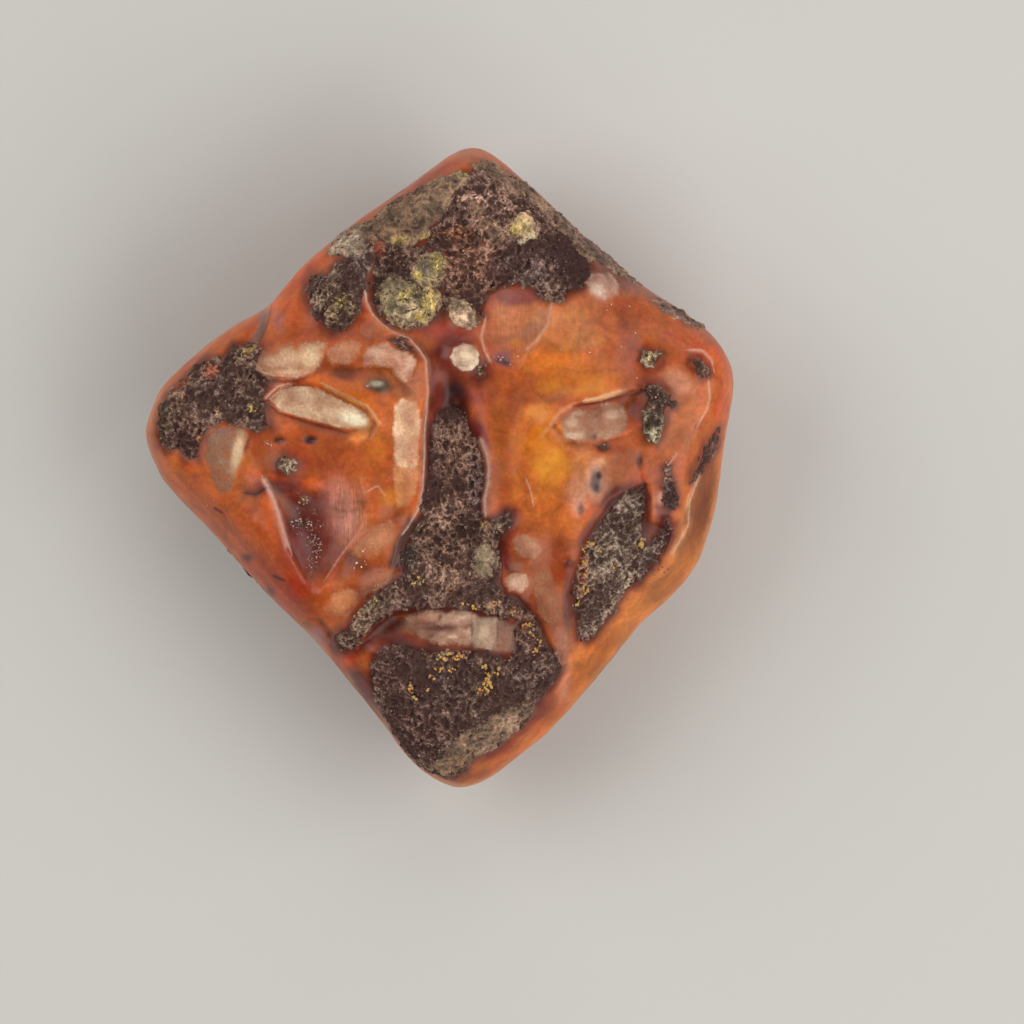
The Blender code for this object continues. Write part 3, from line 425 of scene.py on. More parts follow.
# Colours of the resin, from dark oxidised red to honey, one laid over the other: centre, half
# lengths, turn if any, colour, strength. Some are painted light and shade: the bright orange
# around (9.6, 6), (7.4, 2.2) and (8, 0) is painted glow, the pale spots at (11.4, 0.3) are
# painted highlights, and the pale pink on the facet at (-6.7, -3) is partly painted sheen. The
# dark brown at (12.4, 1.3) below the pale plates is painted shadow, and the dark fringe along
# the walls of the hollow around (10, -6) is partly painted shadow.
STAINS_GLOW_AND_SHADE = [
    (-18, 6, 4, 5, 30, "b0602f", 0.8), (-11.5, 12.5, 2, 2.5, 40, "ca6628", 0.85),
    (-9.5, 14.4, 2.8, 0.9, 40, "c25a1e", 0.9), (-5, 17.6, 3, 0.8, 38, "a04a2c", 0.7),
    (-1, 20.4, 3, 0.6, 30, "8a4030", 0.7), (-16.9, 7.4, 1.6, 0.8, 20, "b0532a", 0.8),
    (-15.8, 6.6, 0.6, 0.6, "b8481c", 0.8), (-20.3, 2.5, 1.2, 2.5, "b5653a", 0.7),
    (-17.5, -1, 2.2, 2, -40, "b4622f", 0.8), (-14, -1.6, 1.8, 2.4, "b06434", 0.7),
    (-13, -4.5, 2.6, 2.4, "ab5829", 0.9), (-12.5, -7.5, 2.4, 1.6, -45, "a04d24", 0.8),
    (-10.2, -8.6, 1.8, 1.4, -45, "ba4612", 0.9), (-8.6, -10, 1.6, 1, -20, "b85a20", 0.9),
    (-7, -10.4, 1.4, 0.8, 30, "c07040", 0.6), (-9.2, -4.4, 2.2, 3.6, -5, "76322e", 0.95),
    (-9.6, -2.2, 1.6, 1.2, "76301f", 0.8), (-9.3, -5, 0.8, 2.4, 5, "642e30", 0.4),
    (-6.7, -3, 1.4, 2.4, 10, "d6968a", 0.9), (-5.5, -2.6, 0.6, 2, "c08468", 0.6),
    (-7.8, -6, 1.2, 1.6, -30, "7d3826", 0.7), (-8.9, -1.1, 0.9, 0.7, "bc5e20", 0.8),
    (-11, -1.3, 1.4, 0.6, "582a30", 0.8), (-12.7, -1.4, 0.8, 0.8, "5a3038", 0.6),
    (-11.3, 10.5, 0.5, 0.9, "bc7866", 0.7), (-8.2, 1.6, 3, 1.2, "a8562a", 0.7),
    (-5, 0.3, 2, 1.8, "b0602c", 0.8), (-4.4, 1.6, 1.1, 1.1, "c07028", 0.8),
    (-3.7, 3.6, 0.6, 1.2, "b86a2c", 0.7), (-3.4, -2.1, 0.9, 0.7, "d88830", 0.9),
    (-4.6, -2.6, 1, 1, "b8683a", 0.7), (-7.4, 5.9, 3, 0.8, -18, "cc6c20", 0.9),
    (-5.4, 5, 1.4, 0.9, -30, "cc7426", 0.8), (-6.7, 6.8, 1.2, 0.6, "743414", 0.9),
    (-8.3, 7.4, 0.3, 0.9, -20, "a85424", 0.8), (-5.4, 2.4, 1.1, 0.5, 25, "cf8844", 0.8),
    (-10.8, 10.6, 1.4, 1.3, "a85426", 0.6), (-11.4, 10.5, 0.5, 1, 20, "a86a60", 0.7),
    (-2.1, 5.8, 0.8, 1.2, "b06a48", 0.7), (-0.9, 6, 0.3, 1.6, "c07440", 0.5),
    (1, 8, 1.9, 2.2, "7a2a18", 0.95), (0.4, 10, 2.4, 0.8, "9a4434", 0.9),
    (0.4, 5.9, 1, 1.4, "742616", 0.85), (1.2, 4.9, 1, 1.3, "4c2a2a", 0.95),
    (-0.8, 1.6, 0.4, 3.4, "501e1a", 0.9), (3, 2.4, 0.5, 1.5, 25, "70343a", 0.85),
    (-0.3, 4.8, 0.5, 1.7, "6a2a20", 0.9), (0.2, 6.6, 1, 0.7, "8a3a22", 0.8),
    (1.2, 5.2, 1, 1.2, "4a2a2e", 0.95), (2.6, 5.6, 0.7, 1.6, 10, "8a3c1c", 0.8),
    (1.8, 7.9, 1.4, 1.3, "b0685a", 0.6), (5.4, 10.4, 2, 2.2, "bc7e5e", 0.9),
    (6.9, 10.6, 0.9, 1, "c88650", 0.7), (5.8, 12.1, 2.2, 0.7, "7c4448", 0.85),
    (5.6, 8.9, 0.5, 0.4, "d08030", 0.8), (11.4, 0.2, 0.7, 0.6, "e4a684", 0.8),
    (9.4, 9.8, 3.2, 2, "d48c56", 0.9), (12.2, 10.8, 1.8, 1.4, "a85c30", 0.8),
    (8.4, 7.4, 3, 1.3, "d68030", 0.9), (9.6, 5.9, 3.4, 0.9, 5, "f09430", 0.9),
    (13.4, 9.8, 0.9, 2.2, 10, "7e4230", 0.7), (5.6, 6, 1.4, 1.4, "ae5e2a", 0.8),
    (4.3, 2, 0.6, 4.6, "985420", 0.85), (5.5, 0, 0.5, 3, "bb7030", 0.8),
    (7, 4, 1.2, 0.7, "e89848", 0.9), (7.4, 2.2, 2.2, 2.2, "e98a24", 0.9),
    (8, 0.2, 1.6, 1.8, "ffa83a", 0.95), (7.4, -2.6, 1.6, 1.6, "be7030", 0.85),
    (9.2, -3.6, 1.2, 1.8, -20, "b46a2a", 0.8), (8.6, -6.4, 0.9, 2.2, "8a3e10", 0.9),
    (10.2, 0.4, 1, 1.4, "c88c58", 0.6), (11.4, -1, 1, 1.5, "d0a088", 0.7),
    (12.4, 0.2, 1.6, 1.4, "985a30", 0.85), (12.8, 1.6, 1, 0.5, "a04e20", 0.6),
    (13.5, 0.7, 1.1, 0.7, "8c4c2a", 0.7), (13.9, 4.4, 0.5, 0.9, "642a22", 0.8),
    (9.8, -1.6, 0.9, 1.4, "c49074", 0.7), (12, -1.4, 1, 0.7, "6e3c34", 0.5),
    (15.6, -2.4, 0.7, 1.4, "8c5048", 0.8), (17.4, 3.6, 1.4, 2.6, "ac683e", 0.8),
    (16.9, 6.2, 1.4, 0.9, -30, "c6907a", 0.75), (15.4, 10.2, 2, 1.4, -30, "a25a34", 0.8),
    (17.6, 9, 1.8, 1.4, -40, "aa5c38", 0.8), (19.4, 7.6, 1, 1.8, "b8561c", 0.8),
    (20, 4.4, 0.8, 1.6, "ac4e1e", 0.8), (17, 0.4, 1.4, 1.8, "b06638", 0.7),
    (13.6, 6, 1.2, 0.5, "8a4420", 0.6), (19.4, -3.4, 1.6, 4, -8, "844210", 0.9),
    (17.2, -8, 3.4, 1.6, 50, "d08036", 0.85), (14, -11.2, 3.4, 1.4, 50, "ba7436", 0.85),
    (10.8, -14.2, 2.8, 1.4, 50, "e6841e", 0.95), (8.9, -15.4, 0.5, 2.2, -5, "bd8468", 0.8),
    (8.2, -18, 2.4, 1, 50, "b8622e", 0.85), (5, -20.8, 2.4, 0.8, 35, "b45c2a", 0.85),
    (2.4, -22.4, 2, 0.9, 20, "7c3410", 0.9), (7.2, -17.4, 2, 0.4, 48, "7c2c18", 0.8),
    (4.4, -20.1, 1.8, 0.35, 32, "8a3018", 0.8), (-5.4, -15.6, 0.9, 2.4, 28, "541e1a", 0.95),
    (-7, -13.8, 0.7, 1.2, 25, "8f3c1c", 0.8), (-6.4, -13.6, 1, 0.5, 30, "b44a1e", 0.85),
    (-3, -20.6, 0.8, 2.2, 35, "6a4038", 0.7), (1.4, -11.4, 4.2, 1.4, "6a3c30", 0.95),
    (-3.6, -11.2, 1.6, 0.9, 15, "5a281c", 0.9), (-4.9, -12.3, 1.4, 0.5, 40, "6c3226", 0.8),
    (1, -10.1, 5, 0.3, -2, "4e1e16", 0.8), (-3.6, -12, 1.6, 0.6, 15, "84483a", 0.7),
    (6.4, -6.8, 1.5, 2.2, -20, "a0603e", 0.8), (7.8, -10, 1.1, 2.2, 15, "864a30", 0.85),
    (8.6, -13, 0.7, 2.2, 5, "9c5c46", 0.8), (4.7, -6.4, 0.45, 1.2, "9c3c28", 0.9),
    (-4.8, -5, 1.4, 0.7, 35, "b07658", 0.85), (-4.5, -7.8, 1.1, 0.7, 20, "ac6c50", 0.85),
    (-6.5, -9.4, 1.1, 0.7, 20, "c07444", 0.8), (-5.8, -6.6, 1.4, 0.6, -40, "6a3820", 0.75),
    (11.6, 12.9, 1.3, 1.2, "b48270", 0.7), (13.4, 12.8, 0.9, 0.8, "a4705c", 0.8),
    (-8.7, -12, 0.9, 1, "94707a", 0.8), (-12.5, 10.6, 0.4, 1.8, "7a5058", 0.7),
    (7.2, 19, 1.8, 0.6, -42, "704c42", 0.85), (1.9, 22.2, 1.6, 0.6, -10, "a86a4c", 0.6),
    (11.2, 14.6, 1.8, 0.6, -40, "6a3c38", 0.7), (4.5, 7.8, 0.8, 0.6, -20, "744a58", 0.85),
    (-13.6, -6.3, 0.5, 0.3, "5c2c34", 0.8), (-12, -8.7, 0.4, 0.3, "5c2c34", 0.8),
    (15.4, 12.2, 1.6, 0.5, -25, "8a5a48", 0.5), (12.4, -2, 1.6, 0.7, 42, "46221a", 0.85),
    (9.2, -9.4, 0.6, 3, -3, "48201a", 0.9), (10.6, -4.4, 0.5, 1.8, -35, "4c221a", 0.8),
    (12.6, 13.5, 1.9, 0.9, -28, "6c3e36", 0.8), (10.2, 13.6, 0.6, 0.9, "4c2a28", 0.8),
    (14.9, -4.4, 0.5, 0.7, "6c4a44", 0.8), (15.2, -2.4, 0.2, 1, "c88c68", 0.7),
    (12.4, 1.3, 1.2, 0.45, "7e3e22", 0.6), (14.7, 0, 0.7, 1.5, "9a5434", 0.6),
    (9.9, -2.6, 0.6, 0.9, "c89484", 0.6), (11.4, 0.4, 0.4, 0.4, "e8b494", 0.35),
    (12.7, 0.3, 0.9, 0.7, "8e5028", 0.35),
]
# Thin chalky films and half weathered lumps: colour, softness of the edge, strength, outline.
CHALK = [
    ("a8785c", 0.5, 0.7, [(-13, 7), (-12.8, 8), (-11.6, 8.5), (-10.4, 8.8), (-9.6, 8),
      (-10.5, 6.8), (-12, 6.6)]),
    ("bc9474", 0.35, 0.95, [(-10.6, 8), (-9.8, 8.8), (-8.7, 9), (-7.9, 8.8), (-8.3, 7.8),
      (-8.7, 7), (-9.4, 6.5), (-10.8, 6.45), (-12.2, 6.6), (-13, 6.9), (-12.5, 7.4),
      (-11.4, 7.6)]),
    ("8c6a54", 0.2, 0.95, [(-16.4, 2.2), (-15.6, 2.9), (-14.4, 2.9), (-13.5, 2.4), (-13.7, 1.8),
      (-14, 0.9), (-14.4, -0.4), (-14.7, -1.6), (-15.5, -1.8), (-16.1, -0.6), (-16.5, 0.8)]),
    ("c8a484", 0.16, 1, [(-11.8, 4.9), (-11.2, 5.5), (-10, 5.8), (-8.6, 5.7), (-7.3, 5),
      (-6.2, 4.5), (-5.2, 4), (-4.9, 3.5), (-5.2, 3), (-6.5, 2.8), (-8.5, 3.3), (-10, 3.7),
      (-11.2, 4.1)]),
    ("b88a6c", 0.25, 0.75, [(-7.9, 8.2), (-7.2, 8.9), (-6, 9.1), (-5.4, 8.7), (-5.6, 7.8),
      (-6.4, 7.4), (-7.6, 7.4)]),
    ("ca9e86", 0.22, 0.9, [(-5.4, 8), (-4.7, 8.7), (-3.7, 8.9), (-3, 8.4), (-2.2, 8.2),
      (-1.6, 7.6), (-1.8, 6.6), (-2.4, 6), (-2.9, 6.4), (-3.4, 7.1), (-4.6, 7.3), (-5.4, 7.2)]),
    ("98644c", 0.35, 0.8, [(-5.3, 10.1), (-4.6, 10.3), (-4, 9.8), (-4.1, 9.4), (-5, 9.3),
      (-5.5, 9.6)]),
    ("d29464", 0.2, 0.75, [(-3.1, 4.4), (-2.6, 4.9), (-1.5, 4.7), (-1.3, 3), (-1.4, 1),
      (-1.4, -0.4), (-1.6, -1.6), (-2, -2.6), (-2.9, -2.8), (-3.2, -0.5), (-3.2, 2)]),
    ("e6bc98", 0.2, 0.95, [(-3.05, 4.2), (-2.6, 4.7), (-1.55, 4.5), (-1.35, 3), (-1.45, 1),
      (-1.8, 0.2), (-2.8, 0.4), (-3.15, 2)]),
    ("bc9074", 0.3, 1, [(8.5, 3.5), (9.3, 3.9), (10.6, 4.2), (10.9, 3.2), (10.6, 2.1), (9.8, 1.9),
      (9, 2.3)]),
    ("b69478", 0.3, 1, [(10.7, 4), (11.5, 4.6), (12.6, 4.5), (13.2, 4), (13.3, 3), (13.1, 2.4),
      (12, 2.3), (10.8, 2.4)]),
    ("b8805c", 0.25, 0.7, [(-6.2, -6.1), (-5.6, -5), (-4.6, -4.2), (-3.4, -3.7), (-2.9, -4.2),
      (-3.2, -5.2), (-4, -5.9), (-5, -6.4)]),
    ("b47a5c", 0.25, 0.7, [(-5.6, -8.5), (-5.2, -7.7), (-4.4, -7.2), (-3.4, -7.3), (-3, -7.6),
      (-3.8, -8.2), (-4.8, -8.8)]),
    ("be8258", 0.3, 0.7, [(-8.3, -9.9), (-7.4, -9), (-6.4, -8.5), (-5.8, -8.8), (-5.9, -9.6),
      (-6.7, -10.3), (-7.6, -10.5)]),
    ("aa7862", 0.35, 0.7, [(8.1, -11.2), (8.9, -11), (9.2, -12.2), (9, -13.6), (8.5, -14.2),
      (8.2, -13)]),
    ("a88068", 0.2, 0.95, [(8.5, 3.4), (9.3, 3.9), (10.8, 4.1), (12.6, 4.5), (13.3, 3.8),
      (13.2, 2.6), (11.8, 2.1), (9.8, 1.9), (8.9, 2.3)]),
    ("f0dabc", 0.12, 1, [(0.85, 7.9), (1.1, 8.5), (1.7, 8.85), (2.4, 8.7), (2.85, 8.1), (2.8, 7.4),
      (2.3, 6.95), (1.6, 6.9), (1.05, 7.3)]),
    ("74483a", 0.3, 0.5, [(-2.4, -10.5), (-1.2, -10.1), (0.6, -10.1), (1.9, -10), (2.7, -10.4),
      (4.2, -10.5), (5.5, -10.9), (5.6, -12.9), (4.2, -13.1), (2.6, -12.7), (1, -12.4),
      (-0.6, -12.2), (-1.4, -11.9), (-2.5, -11.5)]),
    ("b48c74", 0.3, 0.85, [(-2, -10.6), (-1.4, -10.1), (-0.4, -10.05), (0.1, -10.4), (-0.3, -10.8),
      (-1.5, -10.9)]),
    ("c49f88", 0.3, 0.85, [(0.3, -10.9), (1, -10.4), (1.9, -10.1), (2.5, -10.3), (2.3, -10.7),
      (1.2, -11), (0.6, -11.1)]),
    ("94705e", 0.3, 0.8, [(-2.3, -11.2), (-1.6, -10.95), (-0.6, -11.1), (-0.2, -11.5), (-1, -11.8),
      (-2.2, -11.6)]),
    ("b48c74", 0.3, 0.9, [(-0.4, -12.2), (0.4, -11.6), (1.4, -11.5), (2.1, -11.8), (1.8, -12.3),
      (0.4, -12.4)]),
    ("bca088", 0.2, 1, [(2.3, -11.4), (2.9, -10.8), (3.9, -10.7), (4.2, -11.2), (4.1, -12.2),
      (3.6, -12.8), (2.8, -12.5), (2.4, -12)]),
    ("9c7868", 0.2, 0.95, [(4.3, -10.9), (5, -10.8), (5.5, -11.4), (5.5, -12.4), (5.1, -13),
      (4.3, -12.9), (4, -12.6), (4.3, -12)]),
    ("c89c84", 0.2, 1, [(4.6, -8), (5.2, -7.4), (6.2, -7.5), (6.5, -8.1), (5.9, -8.7), (5, -8.6)]),
    ("b48468", 0.22, 0.95, [(5.3, -5), (6, -4.6), (6.9, -5), (7.3, -5.8), (6.8, -6.4), (5.8, -6.2),
      (5.3, -5.6)]),
    ("966448", 0.25, 0.8, [(6.6, -7.6), (7.6, -7), (8.3, -8.2), (8.7, -9.6), (8.6, -10.9),
      (7.8, -11.1), (7.2, -10.2), (6.9, -9)]),
    ("b88e7c", 0.2, 1, [(10.4, 13.2), (10.9, 13.9), (12.2, 13.8), (12.8, 13), (12.6, 12.3),
      (11.7, 11.9), (10.8, 12.4)]),
]
# Brighter and darker touches on the resin and its films: centre, half lengths, turn if any,
# colour, strength. The brightest are painted highlights on lumps, lips and the glassy pit, as at
# (-6, 3.5), (-9.1, 7.8), (-14.2, 1.2), (-4.4, 6) and (12, 5.1).
HIGHLIGHTS_AND_MARKS = [
    (-6, 3.5, 1.1, 0.55, -20, "fff0d0", 0.95), (-7.6, 4, 0.8, 0.4, -20, "d0b498", 0.6),
    (-9.4, 5.2, 0.9, 0.4, -8, "c8ac92", 0.6), (-9.1, 7.8, 0.8, 0.75, 30, "e4c6a0", 0.7),
    (-10.8, 7.6, 1.2, 0.3, 15, "d4ac90", 0.6), (11.2, 12.6, 0.6, 0.5, -40, "dcc0ae", 0.8),
    (-10.6, 6.8, 1.4, 0.2, 2, "e0bc9c", 0.7), (-14.2, 1.2, 0.42, 1.5, -12, "dcc09c", 0.8),
    (-15.2, 2.6, 0.9, 0.3, "94685a", 0.7), (-13.55, 1.7, 0.15, 0.7, -20, "4c2c28", 0.8),
    (-4.4, 8.2, 0.6, 0.3, -10, "dcb49c", 0.7), (-2, 7.4, 0.3, 0.5, "d8ae94", 0.7),
    (-2.2, 4, 0.5, 1, "cc9a7c", 0.6), (-2, 0.6, 0.4, 1.4, "cc9270", 0.6),
    (1.9, 8.1, 0.5, 0.4, "e8ceae", 0.7), (9.4, 3.2, 0.5, 0.4, "d4b89e", 0.6),
    (12.2, 3.8, 0.6, 0.4, "d0b8a0", 0.6), (11, 2.2, 0.2, 0.3, "5c3c34", 0.7),
    (9.6, 2.3, 0.8, 0.3, "dcc0a4", 0.7), (3.2, -11.5, 0.4, 0.6, "ccb49a", 0.7),
    (4.15, -11.8, 0.12, 0.9, "6a4436", 0.65), (1, -11.9, 0.4, 0.15, "dcc0a4", 0.7),
    (0.1, -10.5, 0.15, 0.3, -20, "6c3a30", 0.7), (-0.8, -10.95, 1.2, 0.1, 3, "6c3a30", 0.6),
    (0, -11.25, 1.7, 0.24, 3, "58302a", 0.85), (2.35, -11.4, 0.12, 0.8, "62382e", 0.65),
    (-1.8, -11.9, 0.7, 0.15, "6c3a30", 0.6), (5.4, -8, 0.5, 0.35, 10, "d4b49c", 0.7),
    (1.6, -10.5, 0.5, 0.2, "dcc0a8", 0.6), (-4.2, 5.85, 1.15, 0.65, -5, "38362e", 0.92),
    (-4.4, 6, 0.6, 0.25, "9c9e8c", 0.85), (-4, 5.6, 0.4, 0.15, "262620", 0.9),
    (-9.1, 2, 0.55, 0.35, "44282e", 0.9), (-11.3, 2, 0.5, 0.25, "54302c", 0.8),
    (11.6, 1.5, 0.6, 0.4, "4c342c", 0.8), (11.1, -0.9, 0.6, 1.2, "a08884", 0.8),
    (11, -0.9, 0.3, 0.8, "665058", 0.85), (12, 5.12, 0.9, 0.16, 14, "fcc888", 0.9),
    (10, -2.9, 0.25, 0.5, "6c4a4c", 0.7), (14.2, 0.5, 0.25, 0.45, "5a3038", 0.8),
    (4.8, 7.45, 0.35, 0.25, -30, "3c2c38", 0.85), (2.4, 8.4, 0.4, 0.3, "ac9078", 0.6),
    (9.2, -6.7, 0.4, 0.4, "481618", 0.9), (16.4, -2, 0.35, 0.9, "4a2c30", 0.8),
    (15.6, -2.1, 0.4, 0.6, "b88474", 0.7), (11.3, -0.5, 0.26, 0.3, "302428", 0.8),
    (11.15, -1.4, 0.26, 0.4, 20, "3c2e34", 0.7), (-9.9, -3.9, 0.8, 0.4, -10, "42242a", 0.7),
    (-8.7, -5.2, 0.4, 0.8, 10, "4a2830", 0.4), (-9.5, -2.3, 0.4, 0.3, "6a5a34", 0.8),
    (-2, -6.2, 0.5, 0.7, "1c2018", 0.8),
]
# Fine dark or pale lines: line, half width, colour, strength. The pale lines along the crest,
# the lips and the facet edges are partly painted highlights, and the dark lines under the lips
# and the pale films and beside the lower end of the crest are painted shadow.
VEINS = [
    (CREST, 0.2, "c89c90", 0.3),
    ([(-12.2, 12.1), (-12.4, 11), (-12.6, 10), (-13.1, 8.8)], 0.25, "a08c88", 0.7),
    ([(-2, -3.8), (-2.5, -4.7), (-2.9, -5.6), (-3.3, -6.8)], 0.42, "3e3438", 0.9),
    ([(-13.2, 6.7), (-12, 6.2), (-10.6, 6), (-9.4, 6.3)], 0.2, "5e2820", 0.5),
    ([(-8, 5.8), (-6.5, 5), (-5, 4.3), (-4.2, 3.2)], 0.13, "eca860", 0.85),
    ([(-12.2, 5), (-11.4, 5.75), (-10.5, 5.95)], 0.12, "c08068", 0.7),
    ([(-12, 4.6), (-11.4, 3.9), (-10, 3.5), (-8.4, 3), (-6.5, 2.5)], 0.16, "6c2c1c", 0.45),
    ([(10.4, 4.8), (11.2, 4.9), (12, 5.15), (12.8, 5.45)], 0.13, "f6c080", 0.9),
    ([(8, 3.1), (8.7, 4), (9.6, 4.5)], 0.15, "d89060", 0.7),
    ([(9.6, 4.45), (11.2, 4.65), (13.2, 5.2), (14.4, 5.4)], 0.14, "7a3414", 0.5),
    ([(-13.6, -1.7), (-12.9, -1.8), (-12.2, -1.4)], 0.22, "4c2830", 0.8),
    ([(-12.3, -0.8), (-11.7, -2), (-11.3, -3.2), (-11, -4.3), (-10.7, -5.4)],
      0.17, "cca4a4", 0.85),
    ([(4.3, -5.2), (4.4, -6.6), (5.2, -7.3)], 0.16, "5c1c14", 0.7),
    ([(19.1, 6), (19.2, 5), (19, 4.2), (18.4, 3.3)], 0.12, "d0906c", 0.7),
    ([(17.8, 8.4), (18.8, 8.3), (19.4, 7.6)], 0.12, "c89088", 0.6),
    ([(8, 11.5), (7.6, 10.1), (6.8, 9), (6.3, 8.5)], 0.16, "dca284", 0.75),
    ([(3.3, 10.3), (3, 9.3), (3.3, 8.3), (3.6, 7.6)], 0.14, "c88870", 0.7),
    ([(3, 2), (3.4, 1), (3.55, 0), (3.5, -1), (3.25, -2.2), (3.3, -3.2)], 0.17, "d4a8a4", 0.9),
    ([(-11.7, -7.6), (-11, -7.9)], 0.1, "3c1c18", 0.8),
    ([(-15.9, -2.8), (-15.4, -3.1)], 0.08, "3c1c18", 0.8),
    ([(18.4, -0.6), (17.6, -2.5), (17.7, -4), (16.5, -6)], 0.14, "d8a07c", 0.6),
]
# Lines as fine as a hair: strength, above zero a pale one and below zero a dark one, and line.
# The pale ones are painted glints along the crest, the lips and the facet edges; the dark ones
# are painted shadow lines under lips and steps, with a few short cracks.
HAIRLINES = [
    (0.85, CREST[:19]),
    (0.8, [(-8.2, 6), (-6.5, 5.15), (-5, 4.4), (-4.2, 3.3)]),
    (0.6, [(-12.2, 5), (-11.4, 5.8), (-10.5, 6)]),
    (0.6, [(-11.2, 4.3), (-11.9, 4.9), (-11.2, 5.5), (-10.2, 5.75)]),
    (0.8, [(-12.8, 6.9), (-11.6, 6.55), (-10, 6.5), (-9.2, 6.8)]),
    (0.9, [(10.2, 4.75), (11.2, 4.95), (12.2, 5.2), (13.2, 5.55)]),
    (0.6, [(7.9, 3), (8.6, 4), (9.4, 4.4)]),
    (0.8, [(-12.4, -0.7), (-11.7, -2), (-11.3, -3.2), (-10.9, -4.6), (-10.4, -6)]),
    (0.7, [(8, 11.6), (7.6, 10.1), (6.8, 9), (6.2, 8.4)]),
    (0.6, [(3.3, 10.6), (3, 9.4), (3.2, 8.4), (3.7, 7.5)]),
    (0.9, [(3, 2), (3.4, 1), (3.55, 0), (3.5, -1), (3.25, -2.2), (3.3, -3.2)]),
    (0.6, [(19.1, 6.2), (19.2, 5), (19, 4.2), (18.3, 3)]),
    (0.6, [(17.7, 8.4), (18.6, 8.4), (19.3, 7.7), (19.5, 6.9)]),
    (0.6, [(18.5, -0.4), (17.8, -2.3), (17.7, -4), (16.6, -6)]),
    (0.6, [(6.2, -0.8), (6.5, -1.6), (6.7, -2.6)]),
    (0.5, [(16.8, 1), (16.2, 0.2), (16, -0.9)]),
    (0.6, [(-5, -1.6), (-4.3, -1.2), (-3.8, -1.9)]),
    (0.5, [(-8, -7.8), (-7, -6.2), (-5.9, -4.8)]),
    (-0.35, [(-12.1, 4.8), (-11.4, 3.95), (-10, 3.5), (-8.4, 3), (-6.5, 2.5)]),
    (-0.3, [(-13.2, 6.6), (-12, 6.2), (-10.6, 6.1), (-9.4, 6.4)]),
    (-0.5, [(-13.8, -1.7), (-12.9, -1.85), (-12.1, -1.3)]),
    (-0.35, [(9.4, 4.4), (11.2, 4.62), (13.2, 5.15), (14.4, 5.35)]),
    (-0.45, [(-4.6, -11), (-3.4, -10.25), (-1.5, -9.95), (0.5, -9.9), (2.2, -10.05),
      (4.6, -10.5)]),
    (-0.7, [(-11.7, -7.6), (-11, -7.9)]),
    (-0.35, [(-11.9, 11.6), (-12.1, 10.6), (-12.25, 9.8), (-12.8, 8.8)]),
    (-0.7, [(-15.9, -2.8), (-15.4, -3.1)]),
    (-0.6, [(4.25, -5.2), (4.4, -6.6), (4.5, -7.8)]),
]
# The colour of the resin: orange brown all over, with broad lighter and darker clouds.
tint = np.tile(linear("aa5a2c"), (len(points), 1))
far = wander(points, 0.12, 2, seed=8)
stain(tint, "c27638", 0.6 * ramp(far * 1.4))
stain(tint, "863f20", 0.6 * ramp(-far * 1.4))
# The resin is more golden along the lower right side.
stain(tint, "b47a3a", 0.6 * ramp((points[:, 0] - points[:, 1] - 16) / 7))
# 1 on the upper side, falling to 0 at its rim.
over = ramp((points[seen, 2] - 7.4) / 1.2)
upper = tint[seen]
dab(upper, STAINS_GLOW_AND_SHADE)
# Dark red staining to 0.8 mm around the rind, stronger around the two deep hollows, where it is
# partly painted shade; brown around the silt; and the films over it.
blur = 0.35 * wander(points[seen], 0.7, 2, seed=9)
hollow = inside(RIND[0])
deep = ramp((np.maximum(hollow, inside(RIND[1])) + 2.5) / 2)
stain(upper, "6e2818", (0.45 + 0.3 * deep) * ramp(1 + rind / 0.8 + blur))
stain(upper, "3a1a1a", (0.6 + 0.25 * deep) * ramp((rind + 0.45) / 0.6 + blur))
stain(upper, "7a4a38", 0.6 * ramp((silt + 0.4) / 0.6 + blur))
# The films are curdled: thicker and thinner from place to place, with torn edges.
curds = wander(points[seen], 1.1, 3, seed=10)
# Distances to a covering are kept within this, in millimetres.
BEYOND = 2.0
film = np.full(len(flat), -BEYOND)
film_share = np.zeros(len(flat))
film_tint = upper.copy()
for colour, soft, strength, loop in CHALK:
    reach = inside(loop) / (2 * soft) + 0.4 * blur + 0.25 * curds
    stain(film_tint, colour, ramp(1.5 + 2 * reach))
    film_share += (strength * (0.88 + 0.3 * curds) - film_share) * ramp(1.5 + 2 * reach)
    film = np.maximum(film, reach)
chalk = np.clip(film_share * ramp(0.5 + film), 0, 1)
film_tint *= 1 + (0.35 * np.clip(curds, -0.8, 0.8))[:, None]
for paint in (upper, film_tint):
    dab(paint, HIGHLIGHTS_AND_MARKS)
    for line, wide, colour, strength in VEINS:
        away, _ = to_line(line)
        stain(paint, colour, strength * np.exp(-((away / wide) ** 2)))
# At the rim the colours of the upper side fade into those of the sides.
fade = ramp((points[seen, 2] - 8.1 + 1.6 * blur) / 1.5)
tint[seen] += (upper - tint[seen]) * fade[:, None]
# Painted reflection: the edge between the upper side and the sides is painted a little pale
# along the left, where the steep rim catches light at a glancing angle.
rim_sheen = ramp(1 - np.abs(level - 9.2) / 2.2) * ramp((0.8 - read_normals(lump.data)[:, 2]) / 0.4)
rim_sheen *= ramp((6 - points[:, 0]) / 8) * ramp(0.45 + 1.3 * wander(points, 0.6, 3, seed=13))
stain(tint, "bc9074", 0.4 * rim_sheen)
# Painted shade and light: the colour is darker in crevices and lighter on ridges, by how far
# each point lies below or above its smoothed surroundings.
cavity_shade = even_out(lump.data, points[:, 2] - even_out(lump.data, points[:, 2], 30), 3)
cavity_shade = np.sign(cavity_shade) * np.maximum(np.abs(cavity_shade) - 0.004, 0)
tint *= 1 + np.clip(cavity_shade * 3.5, -0.32, 0.16)[:, None] * ramp((level - 6) / 2)[:, None]

